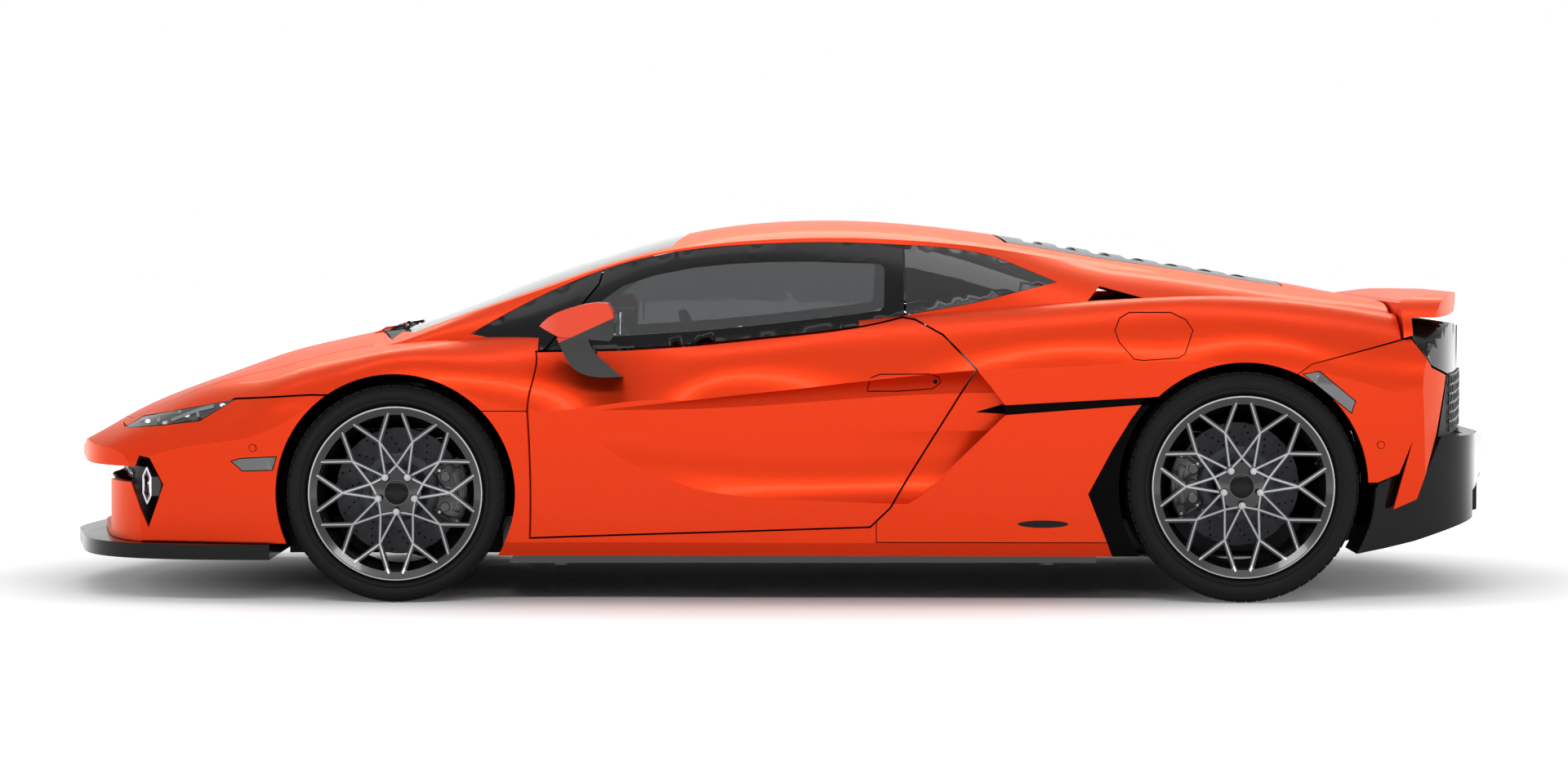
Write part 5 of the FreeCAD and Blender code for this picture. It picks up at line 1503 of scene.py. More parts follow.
@dataclass
class Lamps:
    """The front and tail lamps with what shows in them."""

    ring_place: Point = (-2.005, -0.815, 0.360)
    ring_axis: Point = (-0.9207, -0.3903, 0.0)
    ring_radius: float = 0.056
    headlamps_over: float = 0.5
    front_markers_behind: float = -1.8
    rear_markers_before: float = 1.85

    def build(self, fitter: Fitter) -> None:
        """Make all lamps."""
        self.front(fitter)
        self.day_lamps(fitter)
        self.tail(fitter)

    def front(self, fitter: Fitter) -> None:
        """Part the front lamps into covers, daytime lamps and side markers, fill the covers and paint glints on them.
        """
        for index, part in enumerate(Parting.split("front_lamps")):
            middle = Parting.middle(part)
            if middle.z > self.headlamps_over:
                name, finish = "headlamp", "lamp_shell"
            elif middle.x > self.front_markers_behind:
                name, finish = "front_marker", "marker_grey"
            else:
                name, finish = "day_lamp_body", "lamp_shell"
            fitter.fit(part, finish)
            part.name = f"{name}_{index}"
        lines = [[(-2.060, 0.556), (-1.985, 0.583), (-1.900, 0.592)], [(-1.985, 0.583), (-1.972, 0.560)],
                 [(-1.930, 0.566), (-1.846, 0.598), (-1.790, 0.612)], [(-1.846, 0.598), (-1.838, 0.578)]]
        bands = [Wrap.band(line, 0.010, "front_lamps", f"headlamp_guide_{i}", 0.003, 0.001, 1.3)
                 for i, line in enumerate(lines)]
        fitter.fit_both(Bench.join(bands, "headlamp_guides"), "light_grey")
        # Small discs in the glowing daytime-lamp finish lie on the covers as painted glints: a painted highlight, not
        # lit lamps.
        glints = [Wrap.disc(place, (0.010, 0.005), "front_lamps", f"glint_{i}", 0.003, 24)
                  for i, place in enumerate([(-1.760, 0.616), (-1.880, 0.582), (-2.015, 0.560)])]
        fitter.fit_both(Bench.join(glints, "headlamp_lenses"), "day_light")

    def day_lamps(self, fitter: Fitter) -> None:
        """Make the six-sided light rings with a lens in the middle."""
        axis = Vector(self.ring_axis)
        centre = Vector(self.ring_place)
        for radius, thick, name, finish in ((self.ring_radius, 0.0030, "day_ring_left", "day_light"),
                                            (self.ring_radius - 0.016, 0.002, "day_inner_ring_left", "bulb")):
            ring = Bench.torus(radius, thick, 6, 12)
            ring.rotation_euler = axis.to_track_quat("Z", "X").to_euler()
            ring.location = centre + axis * 0.001
            fitter.fit_both(Bench.freeze(ring, name), finish)
        Bench.clear()
        bpy.ops.mesh.primitive_uv_sphere_add(segments=24, ring_count=12, radius=0.022)
        lens = bpy.context.object
        lens.scale = (1, 1, 0.55)
        lens.rotation_euler = axis.to_track_quat("Z", "X").to_euler()
        lens.location = centre - axis * 0.012
        piece = Bench.freeze(lens, "day_lens_left")
        Bench.smooth(piece, 60)
        fitter.fit_both(piece, "bulb")

    def tail(self, fitter: Fitter) -> None:
        """Part the tail lamps into the black panel and the side markers."""
        for index, part in enumerate(Parting.split("tail_lamps")):
            marker = Parting.middle(part).x < self.rear_markers_before
            fitter.fit(part, "marker_grey" if marker else "gloss_black")
            part.name = f"rear_marker_{index}" if marker else f"tail_panel_{index}"


@dataclass
class Glazing:
    """The fixed panes, and the door glass with the black border printed on it."""

    clear: tuple[Place, ...] = (
        (-0.640, 0.832), (-0.503, 0.834), (-0.271, 0.848), (-0.013, 0.873), (0.245, 0.903), (0.318, 0.914),
        (0.330, 0.924), (0.334, 1.046), (0.322, 1.060), (0.100, 1.068), (-0.040, 1.066), (-0.160, 1.060),
        (-0.277, 1.048), (-0.400, 1.024), (-0.500, 0.992), (-0.560, 0.950), (-0.640, 0.850))
    reach: tuple[float, float] = (-1.10, -0.35)
    front_before: float = -0.4
    rear_window_half: float = 0.3

    def parted(self, source: Shape, outline: tuple[Place, ...], inner: str, border: str) -> list[Shape]:
        """Part a pane along an outline into its clear middle and its border.

        Args:
            source: The whole pane on the left side.
            outline: The clear middle, as (x, z) points.
            inner: The middle's name.
            border: The border's name.

        Returns:
            The middle and the border.
        """
        pieces = []
        for name, operation in ((inner, "INTERSECT"), (border, "DIFFERENCE")):
            piece = Bench.copy(source)
            Bench.outward(piece)
            prism = Bench.side_plate(outline, *self.reach)
            Bench.apply(piece, "BOOLEAN", operation=operation, solver="EXACT", object=prism)
            bpy.data.objects.remove(prism)
            Bench.smooth(piece, 32)
            pieces.append(Bench.freeze(piece, name))
        return pieces

    def build(self, fitter: Fitter) -> None:
        """Part the fixed glass, and the door glass into its pane and its border."""
        for index, part in enumerate(Parting.split("fixed_glass")):
            middle = Parting.middle(part)
            if middle.x < self.front_before:
                name, finish = "front_quarter", "gloss_black"
            elif abs(middle.y) > self.rear_window_half:
                name, finish = "rear_quarter_pane", "quarter_glass"
            else:
                name, finish = "rear_window", "side_glass"
            fitter.fit(part, finish)
            part.name = f"{name}_{index}"
        pane, border = self.parted(bpy.data.objects["door_glass_left"], self.clear, "door_pane_left",
                                   "glass_border_left")
        for piece, finish, slot in ((pane, "side_glass", "glass"), (border, "gloss_black", "black_trim")):
            left, right = fitter.fit_both(piece, finish, "door_left")
            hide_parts("door_glass_left")
            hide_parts("door_glass_right")


@dataclass
class FlankTrim:
    """Thin outlines, plates, seams and sensors on the car's sides; the black outlines, seams and sensor rings are
    painted shade in gaps.
    """

    handle: tuple[Place, ...] = (
        (0.2725, 0.664), (0.283, 0.7073), (0.313, 0.7187), (0.471, 0.720), (0.4994, 0.7073), (0.502, 0.6894),
        (0.479, 0.6716), (0.369, 0.664), (0.2725, 0.664))
    flap: tuple[Place, ...] = (
        (1.048, 0.8557), (1.065, 0.8928), (1.097, 0.9106), (1.2275, 0.9106), (1.272, 0.8884), (1.292, 0.8557),
        (1.264, 0.783), (1.2436, 0.770), (1.134, 0.7625), (1.106, 0.766), (1.060, 0.8187), (1.048, 0.8557))
    key: Place = (0.4866, 0.6945)
    key_radius: float = 0.0065
    plate: Place = (0.823, 0.2497)
    plate_radii: Place = (0.079, 0.0115)
    sensors: tuple[tuple[str, Place], ...] = (("front", (-1.654, 0.486)), ("rear", (1.881, 0.497)))
    sensor_radius: float = 0.0105
    ring_radius: float = 0.0118
    seam: float = 0.0030

    def build(self, fitter: Fitter) -> None:
        """Make the trim on both sides."""
        # A matt black band round the handle: painted shade in the gap round it.
        line = Wrap.band(self.handle, self.seam, "door_left", "handle_outline_left", 0.0008, 0.0002)
        fitter.fit_both(line, "matt_black", "door_left")
        key = Wrap.disc(self.key, (self.key_radius, self.key_radius), "door_left", "lock_left", 0.0015, 20)
        fitter.fit_both(key, "matt_black", "door_left")
        # A matt black band round the filler flap: painted shade in its gap.
        seam = Wrap.band(self.flap, self.seam, "rear_quarters", "filler_seam_left", 0.0008, 0.0002)
        fitter.fit_both(seam, "matt_black")
        plate = Wrap.disc(self.plate, self.plate_radii, "rear_quarters", "side_plate_left", 0.0020, 40)
        fitter.fit_both(plate, "gloss_black")
        for end, (x, z) in self.sensors:
            node = f"{end}_bumper"
            button = Wrap.disc((x, z), (self.sensor_radius, self.sensor_radius), node, f"{end}_sensor_left", 0.0020, 24)
            fitter.fit_both(button, "paint")
            # A matt black ring round each sensor: painted shade in the gap round it.
            rim = [(x + self.ring_radius * math.cos(math.radians(a)), z + self.ring_radius * math.sin(math.radians(a)))
                   for a in range(0, 361, 20)]
            ring = Wrap.band(rim, 0.0018, node, f"{end}_sensor_ring_left", 0.0010, 0.0002)
            fitter.fit_both(ring, "matt_black")


@dataclass
class Wipers:
    """Two wipers on the cowl, each an arm with its blade."""

    def build(self, fitter: Fitter) -> None:
        """Make both wipers, lying along the windscreen's foot."""
        for name, foot, tip in (("wiper_left", (-1.262, -0.10, 0.846), (-1.196, -0.54, 0.846)),
                                ("wiper_right", (-1.262, 0.34, 0.842), (-1.250, -0.06, 0.854))):
            start, end = Vector(foot), Vector(tip)
            arm = Bench.rod(start, start.lerp(end, 0.8) + Vector((0, 0, 0.006)), 0.006, 12)
            boss = Bench.rod(start + Vector((0, 0, -0.018)), start + Vector((0, 0, 0.010)), 0.014, 20)
            Bench.apply(boss, "BEVEL", width=0.003, segments=2)
            blade = Bench.rod(start.lerp(end, 0.25) + Vector((0.012, 0, -0.003)), end + Vector((0.012, 0, -0.003)),
                              0.0045, 8)
            piece = Bench.join([arm, boss, blade], name)
            Bench.smooth(piece, 40)
            fitter.fit(piece, "satin_black")


@dataclass
class Openwork:
    """Six-sided mesh in the front mouth and across the tail."""

    pitch: float = 0.034
    bar: float = 0.0035

    def comb(self, columns: int, rows: int, place: Point) -> Shape:
        """Make a flat comb of hexagon rings facing along X.

        Args:
            columns: Cells across the car.
            rows: Cells up.
            place: The comb's lower left corner.

        Returns:
            The flat comb.
        """
        radius = self.pitch / math.sqrt(3)
        Bench.clear()
        bpy.ops.mesh.primitive_circle_add(vertices=6, radius=radius + self.bar * 0.1, fill_type="NGON",
                                          location=(0, 0, 0))
        piece = bpy.context.object
        with Bench.editing(piece):
            bpy.ops.mesh.inset(thickness=self.bar * 0.6, depth=0)
            bpy.ops.mesh.delete(type="FACE")
        for vertex in piece.data.vertices:
            x, y, _ = vertex.co
            vertex.co = (place[0], place[1] + y, place[2] + x)
        for count, step in ((2, (0, self.pitch / 2, 1.5 * radius)), (columns, (0, self.pitch, 0)),
                            (rows // 2, (0, 0, 3 * radius))):
            Bench.apply(piece, "ARRAY", count=count, use_relative_offset=False, use_constant_offset=True,
                        constant_offset_displace=step)
        return piece

    def press(self, piece: Shape, node: str, forward: bool, raised: float, limit: float) -> None:
        """Press a comb onto a node along X, and drop what meets nothing."""
        start = piece.data.vertices[0].co.x
        Bench.apply(piece, "SHRINKWRAP", target=bpy.data.objects[node], wrap_method="PROJECT", use_project_x=True,
                    use_positive_direction=forward, use_negative_direction=not forward, offset=raised,
                    project_limit=limit)
        Bench.drop(piece, lambda place: abs(place.x - start) < 0.001)
        Bench.apply(piece, "SOLIDIFY", thickness=0.004, offset=0.0)

    def build(self, fitter: Fitter) -> None:
        """Make the combs."""
        for name, node, cells, place, forward, raised, limit in (
                ("mouth_mesh", "front_grille", (34, 8), (-2.40, -0.575, 0.222), True, 0.004, 0.32),
                ("tail_mesh", "rear_grille", (44, 10), (2.42, -0.745, 0.545), False, 0.005, 0.30)):
            comb = self.comb(*cells, place)
            self.press(comb, node, forward, raised, limit)
            fitter.fit(comb, "gloss_black", name=name)


@dataclass
class Seat:
    """The left bucket seat: hard shell on rails, padded cushion, back, bolsters and headrest, piping and belt."""

    middle: float = -0.365
    half: float = 0.215
    voxel: float = 0.006
    frames: int = 20
    pressure: float = 4.0
    bucket: tuple[Place, ...] = (
        (-0.178, 0.205), (-0.180, 0.262), (0.330, 0.226), (0.378, 0.300), (0.446, 0.440), (0.542, 0.785),
        (0.568, 0.962), (0.594, 0.960), (0.566, 0.780), (0.466, 0.420), (0.416, 0.290), (0.392, 0.205))
    cushion: tuple[Place, ...] = (
        (-0.146, 0.272), (-0.158, 0.312), (-0.112, 0.334), (0.120, 0.296), (0.300, 0.280), (0.325, 0.262),
        (0.320, 0.244))
    back: tuple[Place, ...] = (
        (0.362, 0.385), (0.384, 0.462), (0.436, 0.595), (0.500, 0.772), (0.520, 0.776), (0.468, 0.590),
        (0.424, 0.440), (0.392, 0.362))
    wing: tuple[Place, ...] = (
        (0.344, 0.385), (0.360, 0.452), (0.412, 0.585), (0.478, 0.760), (0.506, 0.796), (0.534, 0.786),
        (0.484, 0.592), (0.434, 0.440), (0.398, 0.366))
    thigh: tuple[Place, ...] = (
        (-0.120, 0.268), (-0.134, 0.334), (-0.092, 0.345), (0.120, 0.306), (0.296, 0.290), (0.312, 0.250))
    head: tuple[Place, ...] = (
        (0.504, 0.826), (0.512, 0.900), (0.530, 0.956), (0.556, 0.968), (0.576, 0.950), (0.572, 0.880),
        (0.556, 0.818))

    def build(self, fitter: Fitter) -> None:
        """Make the seat and its mirror image in place of the CAD seats."""
        bucket = Bench.side_plate(self.bucket, self.middle - self.half, self.middle + self.half, 0.008, 3)
        Bench.smooth(bucket, 40)
        self.place(Bench.freeze(bucket, "seat_shell_left"), fitter, "composite")
        rails = [Bench.box((-0.13, self.middle + side - 0.02, 0.1425), (0.37, self.middle + side + 0.02, 0.207), 0.004)
                 for side in (-0.16, 0.16)]
        self.place(Bench.join(rails, "seat_rails_left"), fitter, "satin_black")
        pads = {}
        for name, outline, near, far, cap in (("cushion", self.cushion, -0.132, 0.132, 0.014),
                                              ("back", self.back, -0.128, 0.128, 0.012),
                                              ("headrest", self.head, -0.112, 0.112, 0.010),
                                              ("thigh_inner", self.thigh, 0.146, 0.214, 0.010),
                                              ("thigh_outer", self.thigh, -0.214, -0.146, 0.010),
                                              ("wing_inner", self.wing, 0.142, 0.212, 0.010),
                                              ("wing_outer", self.wing, -0.212, -0.142, 0.010)):
            pad = self.pad(outline, self.middle + near, self.middle + far, cap, f"seat_{name}_left")
            pads[name] = pad
            for piece in self.place(pad, fitter, "suede" if name in ("cushion", "back") else "leather"):
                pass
        self.sew(pads, fitter)
        self.belt(fitter)

    @staticmethod
    def place(piece: Shape, fitter: Fitter, finish: str) -> tuple[Shape, Shape]:
        """Fit a piece of the seat on both sides, in place of the CAD seats."""
        made = fitter.fit_both(piece, finish)
        for one in made:
            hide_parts("seats")
        return made

    def pad(self, outline: tuple[Place, ...], near: float, far: float, cap: float, name: str) -> Shape:
        """Make one padded piece from its side outline, blown up as cloth.

        Args:
            outline: Its (x, z) outline, a little smaller than the finished pad.
            near: Its lowest Y.
            far: Its highest Y.
            cap: How far a point may move.
            name: Its name.

        Returns:
            The pad.
        """
        piece = Bench.side_plate(outline, near, far, 0.014, 3)
        Bench.activate(piece)
        piece.data.remesh_voxel_size = self.voxel
        bpy.ops.object.voxel_remesh()
        self.blow(piece, cap)
        Bench.apply(piece, "SMOOTH", factor=0.5, iterations=3)
        Bench.activate(piece)
        bpy.ops.object.shade_smooth()
        return Bench.freeze(piece, name)

    def blow(self, piece: Shape, cap: float) -> None:
        """Swell a mesh by cloth under pressure, no point further than the cap."""
        scene = bpy.context.scene
        before = [vertex.co.copy() for vertex in piece.data.vertices]
        Bench.activate(piece)
        modifier = piece.modifiers.new("cloth", "CLOTH")
        modifier.settings.quality = 3
        modifier.settings.use_pressure = True
        modifier.settings.uniform_pressure_force = self.pressure
        modifier.settings.effector_weights.gravity = 0.0
        for frame in range(1, self.frames + 1):
            scene.frame_set(frame)
        bpy.ops.object.modifier_apply(modifier=modifier.name)
        scene.frame_set(1)
        for vertex, old in zip(piece.data.vertices, before):
            move = vertex.co - old
            if move.length > cap:
                vertex.co = old + move * (cap / move.length)

    def sew(self, pads: dict[str, Shape], fitter: Fitter) -> None:
        """Lay piping and channel seams on the pads."""
        edge = [(-0.150, 0.330), (-0.112, 0.350), (0.120, 0.312), (0.290, 0.294)]
        rise = [(0.372, 0.430), (0.420, 0.580), (0.490, 0.772)]
        cords = []
        for side in (-1, 1):
            for name, line in (("cushion", edge), ("back", rise)):
                points = [(x, self.middle + side * 0.124, z) for x, z in line]
                cords.append(Bench.tube(Bench.flow(points, 12), 0.0022, pads[name]))
        self.place(Bench.join(cords, "seat_piping_left"), fitter, "piping")
        seams = []
        for name, half, places in (
                ("cushion", 0.118, ((-0.060, 0.345), (0.020, 0.332), (0.100, 0.318), (0.180, 0.306))),
                ("back", 0.112, ((0.392, 0.500), (0.420, 0.575), (0.446, 0.650), (0.476, 0.725)))):
            for x, z in places:
                points = [(x, self.middle + y, z) for y in (-half, -0.06, 0.0, 0.06, half)]
                seams.append(Bench.tube(Bench.flow(points, 8), 0.0013, pads[name]))
        self.place(Bench.join(seams, "seat_seams_left"), fitter, "leather")

    def belt(self, fitter: Fitter) -> None:
        """Hang the belt from the shoulder to its latch, with reel cover and buckle."""
        out = self.middle - 0.19
        path = [(0.585, out, 0.905), (0.500, out + 0.012, 0.840), (0.468, out + 0.020, 0.765),
                (0.400, out + 0.022, 0.590), (0.342, out + 0.022, 0.440), (0.250, out + 0.012, 0.345),
                (0.240, out - 0.040, 0.300)]
        strap = Bench.strap(Bench.flow(path, 9), (0.0, 0.023, 0.0), 0.0014)
        self.place(Bench.freeze(strap, "belt_left"), fitter, "belt")
        reel = Bench.box((0.560, out - 0.035, 0.880), (0.598, out + 0.035, 0.935), 0.008)
        tongue = Bench.box((0.236, self.middle + 0.222, 0.290), (0.262, self.middle + 0.240, 0.385), 0.005)
        self.place(Bench.join([reel, tongue], "belt_reel_left"), fitter, "satin_black")


@dataclass(frozen=True)
class Slab:
    """A rounded plate across the car, from its side outline, with its finish."""

    name: str
    finish: str
    outline: tuple[Place, ...]
    span: tuple[float, float]
    bevel: float
    segments: int = 2
    crease: float = 0.0
    slot: str = "plastic"

    def shape(self) -> Shape:
        """Make the plate, shaded smooth up to its crease angle."""
        piece = Bench.side_plate(self.outline, *self.span, self.bevel, self.segments)
        if self.crease:
            Bench.smooth(piece, self.crease)
        return piece

    def build(self, fitter: Fitter) -> None:
        """Make the plate and fit it to the body."""
        fitter.fit(self.shape(), self.finish, name=self.name)


@dataclass
class Dashboard:
    """Instrument hood, screens, air vents and trim on the dashboard, with the column stalks."""

    column: float = -0.365
    vents: tuple[float, ...] = (-0.590, -0.165, 0.165, 0.590)
    vent_level: float = 0.744
    slabs: tuple[Slab, ...] = (
        Slab("instrument_hood", "leather",
             ((-0.690, 0.836), (-0.645, 0.884), (-0.560, 0.912), (-0.482, 0.914), (-0.478, 0.905), (-0.548, 0.897),
              (-0.556, 0.838), (-0.600, 0.828)), (-0.505, -0.225), 0.004, 3, 40),
        Slab("instrument_screen", "screen", ((-0.552, 0.836), (-0.543, 0.836), (-0.539, 0.894), (-0.548, 0.894)),
             (-0.485, -0.245), 0.002),
        Slab("centre_screen_frame", "gloss_black",
             ((-0.524, 0.794), (-0.510, 0.790), (-0.538, 0.640), (-0.566, 0.640)), (-0.104, 0.104), 0.004, 3),
        Slab("centre_screen", "screen", ((-0.5135, 0.782), (-0.5092, 0.780), (-0.5358, 0.650), (-0.5400, 0.650)),
             (-0.092, 0.092), 0.001))

    def build(self, fitter: Fitter) -> None:
        """Make what is on the dashboard."""
        for slab in self.slabs:
            slab.build(fitter)
        for index, across in enumerate(self.vents):
            self.vent(across, f"vent_{index}", fitter)
        line = Bench.tube([(-0.5378, y, 0.704) for y in (0.12, 0.20, 0.30, 0.40, 0.50, 0.60, 0.68)], 0.0022)
        fitter.fit(line, "piping", name="dash_piping")
        glove = [(-0.5440, 0.17, 0.690), (-0.5440, 0.60, 0.690), (-0.5920, 0.58, 0.612), (-0.5920, 0.19, 0.612),
                 (-0.5440, 0.17, 0.690)]
        fitter.fit(Bench.freeze(Bench.tube(glove, 0.0013), "glove_box_seam"), "matt_black")
        stalks = []
        for side in (-1, 1):
            root = Vector((-0.338, self.column + side * 0.028, 0.700))
            tip = Vector((-0.326, self.column + side * 0.128, 0.716))
            stalks.append(Bench.rod(root, root.lerp(tip, 0.72), 0.0050, 16))
            stalks.append(Bench.rod(root.lerp(tip, 0.70), tip, 0.0078, 16))
            Bench.apply(stalks[-1], "BEVEL", width=0.002, segments=2, limit_method="ANGLE")
        fitter.fit(Bench.join(stalks, "column_stalks"), "satin_black")

    def vent(self, across: float, name: str, fitter: Fitter) -> None:
        """Make a six-sided air vent with its blades."""
        ring = []
        for k in range(6):
            turn = math.radians(60 * k)
            z = self.vent_level + 0.036 * math.sin(turn)
            ring.append((-0.516 + 0.24 * (z - 0.79), across + 0.058 * math.cos(turn), z))
        parts = [Bench.tube(ring + ring[:1], 0.0045)]
        for step in range(5):
            z = 0.722 + 0.011 * step
            half = 0.050 - 0.55 * abs(z - self.vent_level)
            x = -0.519 + 0.24 * (z - 0.79)
            parts.append(Bench.box((x - 0.016, across - half, z - 0.0012), (x, across + half, z + 0.0012), 0.0005))
        fitter.fit(Bench.join(parts, name), "satin_black")


@dataclass
class Helm:
    """What is on the steering wheel: wrapped rim, stitching, boss, spoke covers, keys and shift paddles."""

    centre: Point = (-0.250, -0.365, 0.727)
    tilt: float = 22.0
    rim: float = 0.180

    def turned(self, piece: Shape, name: str, finish: str, fitter: Fitter) -> None:
        """Move a piece from the wheel's own frame to its place and fit it."""
        Bench.freeze(piece, name)
        turn = math.radians(self.tilt)
        matrix = Matrix(((0, -math.sin(turn), math.cos(turn), self.centre[0]), (1, 0, 0, self.centre[1]),
                         (0, math.cos(turn), math.sin(turn), self.centre[2]), (0, 0, 0, 1)))
        piece.data.transform(matrix)
        fitter.fit(piece, finish, "steering_wheel")

    def build(self, fitter: Fitter) -> None:
        """Make all pieces of the wheel."""
        for name, radius, thick, finish in (("steering_rim", self.rim, 0.0162, "leather"),
                                            ("steering_stitching", self.rim - 0.0158, 0.0012, "piping")):
            piece = Bench.torus(radius, thick, 96, 18)
            Bench.smooth(piece, 60)
            self.turned(piece, name, finish, fitter)
        points = [(0.070 * math.cos(math.radians(a)), 0.060 * math.sin(math.radians(a)), -0.030)
                  for a in range(0, 360, 20)]
        boss = Bench.plate(points, (0, 0, 0.044), 0.010, 4)
        Bench.smooth(boss, 50)
        self.turned(boss, "steering_boss", "leather", fitter)
        covers, keys, paddles = [], [], []
        for side in (-1, 1):
            wide = [(side * 0.050, -0.026, -0.018), (side * 0.050, 0.026, -0.018), (side * 0.172, 0.017, -0.018),
                    (side * 0.172, -0.021, -0.018)]
            covers.append(Bench.plate(wide, (0, 0, 0.021), 0.003, 2))
            for row in (-0.011, 0.0, 0.011):
                keys.append(Bench.box((side * 0.105 - 0.018, row - 0.0042, 0.002),
                                      (side * 0.105 + 0.018, row + 0.0042, 0.0062), 0.0014))
            blade = [(side * 0.070, -0.012, -0.046), (side * 0.078, 0.072, -0.046), (side * 0.142, 0.080, -0.046),
                     (side * 0.152, 0.050, -0.046), (side * 0.118, -0.012, -0.046)]
            paddles.append(Bench.plate(blade, (0, 0, 0.005), 0.0018, 2))
            paddles.append(Bench.box((side * 0.060 - 0.022, -0.012, -0.050),
                                     (side * 0.060 + 0.022, 0.012, -0.030), 0.003))
        low = [(-0.020, -0.050, -0.018), (0.020, -0.050, -0.018), (0.014, -0.170, -0.018), (-0.014, -0.170, -0.018)]
        covers.append(Bench.plate(low, (0, 0, 0.020), 0.003, 2))
        for parts, name, finish in ((covers, "spoke_covers", "gloss_black"), (keys, "wheel_keys", "satin_black"),
                                    (paddles, "shift_paddles", "composite")):
            self.turned(Bench.join(parts, name), name, finish, fitter)


@dataclass
class Cabin:
    """Console controls, mats, pedals, inner mirror, roof lining and door panels."""

    slabs: tuple[Slab, ...] = (
        Slab("armrest", "leather", ((0.060, 0.416), (0.066, 0.440), (0.160, 0.452), (0.350, 0.456), (0.372, 0.440),
                                    (0.366, 0.420)), (-0.092, 0.092), 0.010, 4, 50, "seat_leather"),
        Slab("key_panel", "gloss_black", ((-0.440, 0.500), (-0.436, 0.512), (-0.120, 0.443), (-0.116, 0.430)),
             (-0.078, 0.078), 0.003))
    heads: float = 0.80
    inward_least: float = 0.55
    lining_low: float = 0.83
    lining_back: float = 0.72
    guard: Slab = Slab("start_guard", "piping", ((-0.172, 0.456), (-0.160, 0.474), (-0.126, 0.468), (-0.118, 0.448)),
                       (-0.020, 0.020), 0.004, 3)
    door_slabs: tuple[Slab, ...] = (
        Slab("card", "suede", ((-0.715, 0.400), (-0.600, 0.376), (0.195, 0.376), (0.400, 0.600), (0.440, 0.720),
                               (0.360, 0.780), (0.080, 0.772), (-0.300, 0.752), (-0.715, 0.738)),
             (-0.802, -0.789), 0.004),
        Slab("pocket", "suede", ((-0.560, 0.382), (-0.575, 0.440), (0.150, 0.440), (0.180, 0.400), (0.160, 0.382)),
             (-0.800, -0.766), 0.007, 3),
        Slab("rest", "leather", ((-0.400, 0.512), (-0.300, 0.556), (0.120, 0.566), (0.180, 0.548), (0.120, 0.512),
                                 (-0.320, 0.486)), (-0.800, -0.736), 0.014, 4, 50),
        Slab("roll", "leather", ((-0.700, 0.712), (-0.700, 0.738), (-0.300, 0.752), (0.080, 0.774), (0.350, 0.782),
                                 (0.372, 0.762), (0.080, 0.742), (-0.300, 0.722)), (-0.800, -0.772), 0.008, 3, 50))

    def build(self, fitter: Fitter) -> None:
        """Make the cabin's pieces."""
        self.console(fitter)
        self.floor(fitter)
        self.mirror(fitter)
        self.lining(fitter)
        self.door_panel(fitter)

    def console(self, fitter: Fitter) -> None:
        """Make the armrest, the key panel with its keys and the start key's guard on the console."""
        for slab in self.slabs:
            slab.build(fitter)
        keys = []
        for row in range(4):
            x = -0.395 + 0.056 * row
            z = 0.5055 - 0.2184 * (x + 0.44)
            for y in (-0.046, 0.0, 0.046):
                keys.append(Bench.box((x - 0.016, y - 0.017, z - 0.004), (x + 0.016, y + 0.017, z + 0.0075), 0.003))
        fitter.fit(Bench.join(keys, "console_keys"), "satin_black")
        self.guard.build(fitter)

    @staticmethod
    def floor(fitter: Fitter) -> None:
        """Lay the mats and stand the pedals."""
        mat = Bench.box((-0.850, -0.600, 0.1425), (-0.210, -0.130, 0.1520), 0.004)
        fitter.fit_both(mat, "carpet", name="floor_mat_left")
        parts = []
        for near, far, low, high in ((-0.318, -0.268, 0.176, 0.300), (-0.470, -0.380, 0.215, 0.290)):
            pad = [(-0.786, low), (-0.778, low - 0.004), (-0.752, high - 0.004), (-0.760, high)]
            parts.append(Bench.side_plate(pad, near, far, 0.003))
            middle = (near + far) / 2
            parts.append(Bench.rod((-0.772, middle, (low + high) / 2), (-0.868, middle, 0.400), 0.008, 14))
        parts.append(Bench.side_plate([(-0.800, 0.160), (-0.792, 0.156), (-0.756, 0.300), (-0.764, 0.304)], -0.590,
                                      -0.530, 0.003))
        fitter.fit(Bench.join(parts, "pedals"), "machined")

    @staticmethod
    def mirror(fitter: Fitter) -> None:
        """Hang the inner mirror from the windscreen."""
        points = [(-0.452, y, z) for y, z in ((-0.115, 1.036), (-0.122, 1.070), (-0.098, 1.088), (0.098, 1.088),
                                             (0.122, 1.070), (0.115, 1.036), (0.090, 1.028), (-0.090, 1.028))]
        head = Bench.plate(points, (0.022, 0, 0), 0.007, 3)
        foot = Bench.rod((-0.448, 0, 1.060), (-0.492, 0, 1.100), 0.009, 14)
        Bench.smooth(head, 40)
        fitter.fit(Bench.join([head, foot], "inner_mirror"), "satin_black")
        glass = [(-0.431, y * 0.92, 1.058 + (z - 1.058) * 0.84) for _, y, z in points]
        fitter.fit(Bench.freeze(Bench.plate(glass, (0.0018, 0, 0)), "inner_mirror_glass"), "mirror_glass")

    def lining(self, fitter: Fitter) -> None:
        """Line the roof and pillars on the inside with suede, from the roof shell's own inner faces."""
        piece = Bench.copy(bpy.data.objects["roof_shell"])
        Bench.activate(piece)
        for face in piece.data.polygons:
            x, y, z = face.center
            inward = face.normal.dot(Vector((0.0, -y, self.heads - z)).normalized())
            face.select = not (inward > self.inward_least and z > self.lining_low and x < self.lining_back)
        for part in (*piece.data.edges, *piece.data.vertices):
            part.select = False
        bpy.ops.object.mode_set(mode="EDIT")
        bpy.context.tool_settings.mesh_select_mode = (False, False, True)
        bpy.ops.mesh.delete(type="FACE")
        bpy.context.tool_settings.mesh_select_mode = (True, False, False)
        bpy.ops.object.mode_set(mode="OBJECT")
        Bench.apply(piece, "SOLIDIFY", thickness=0.003, offset=1.0)
        fitter.fit(piece, "suede", name="roof_lining")

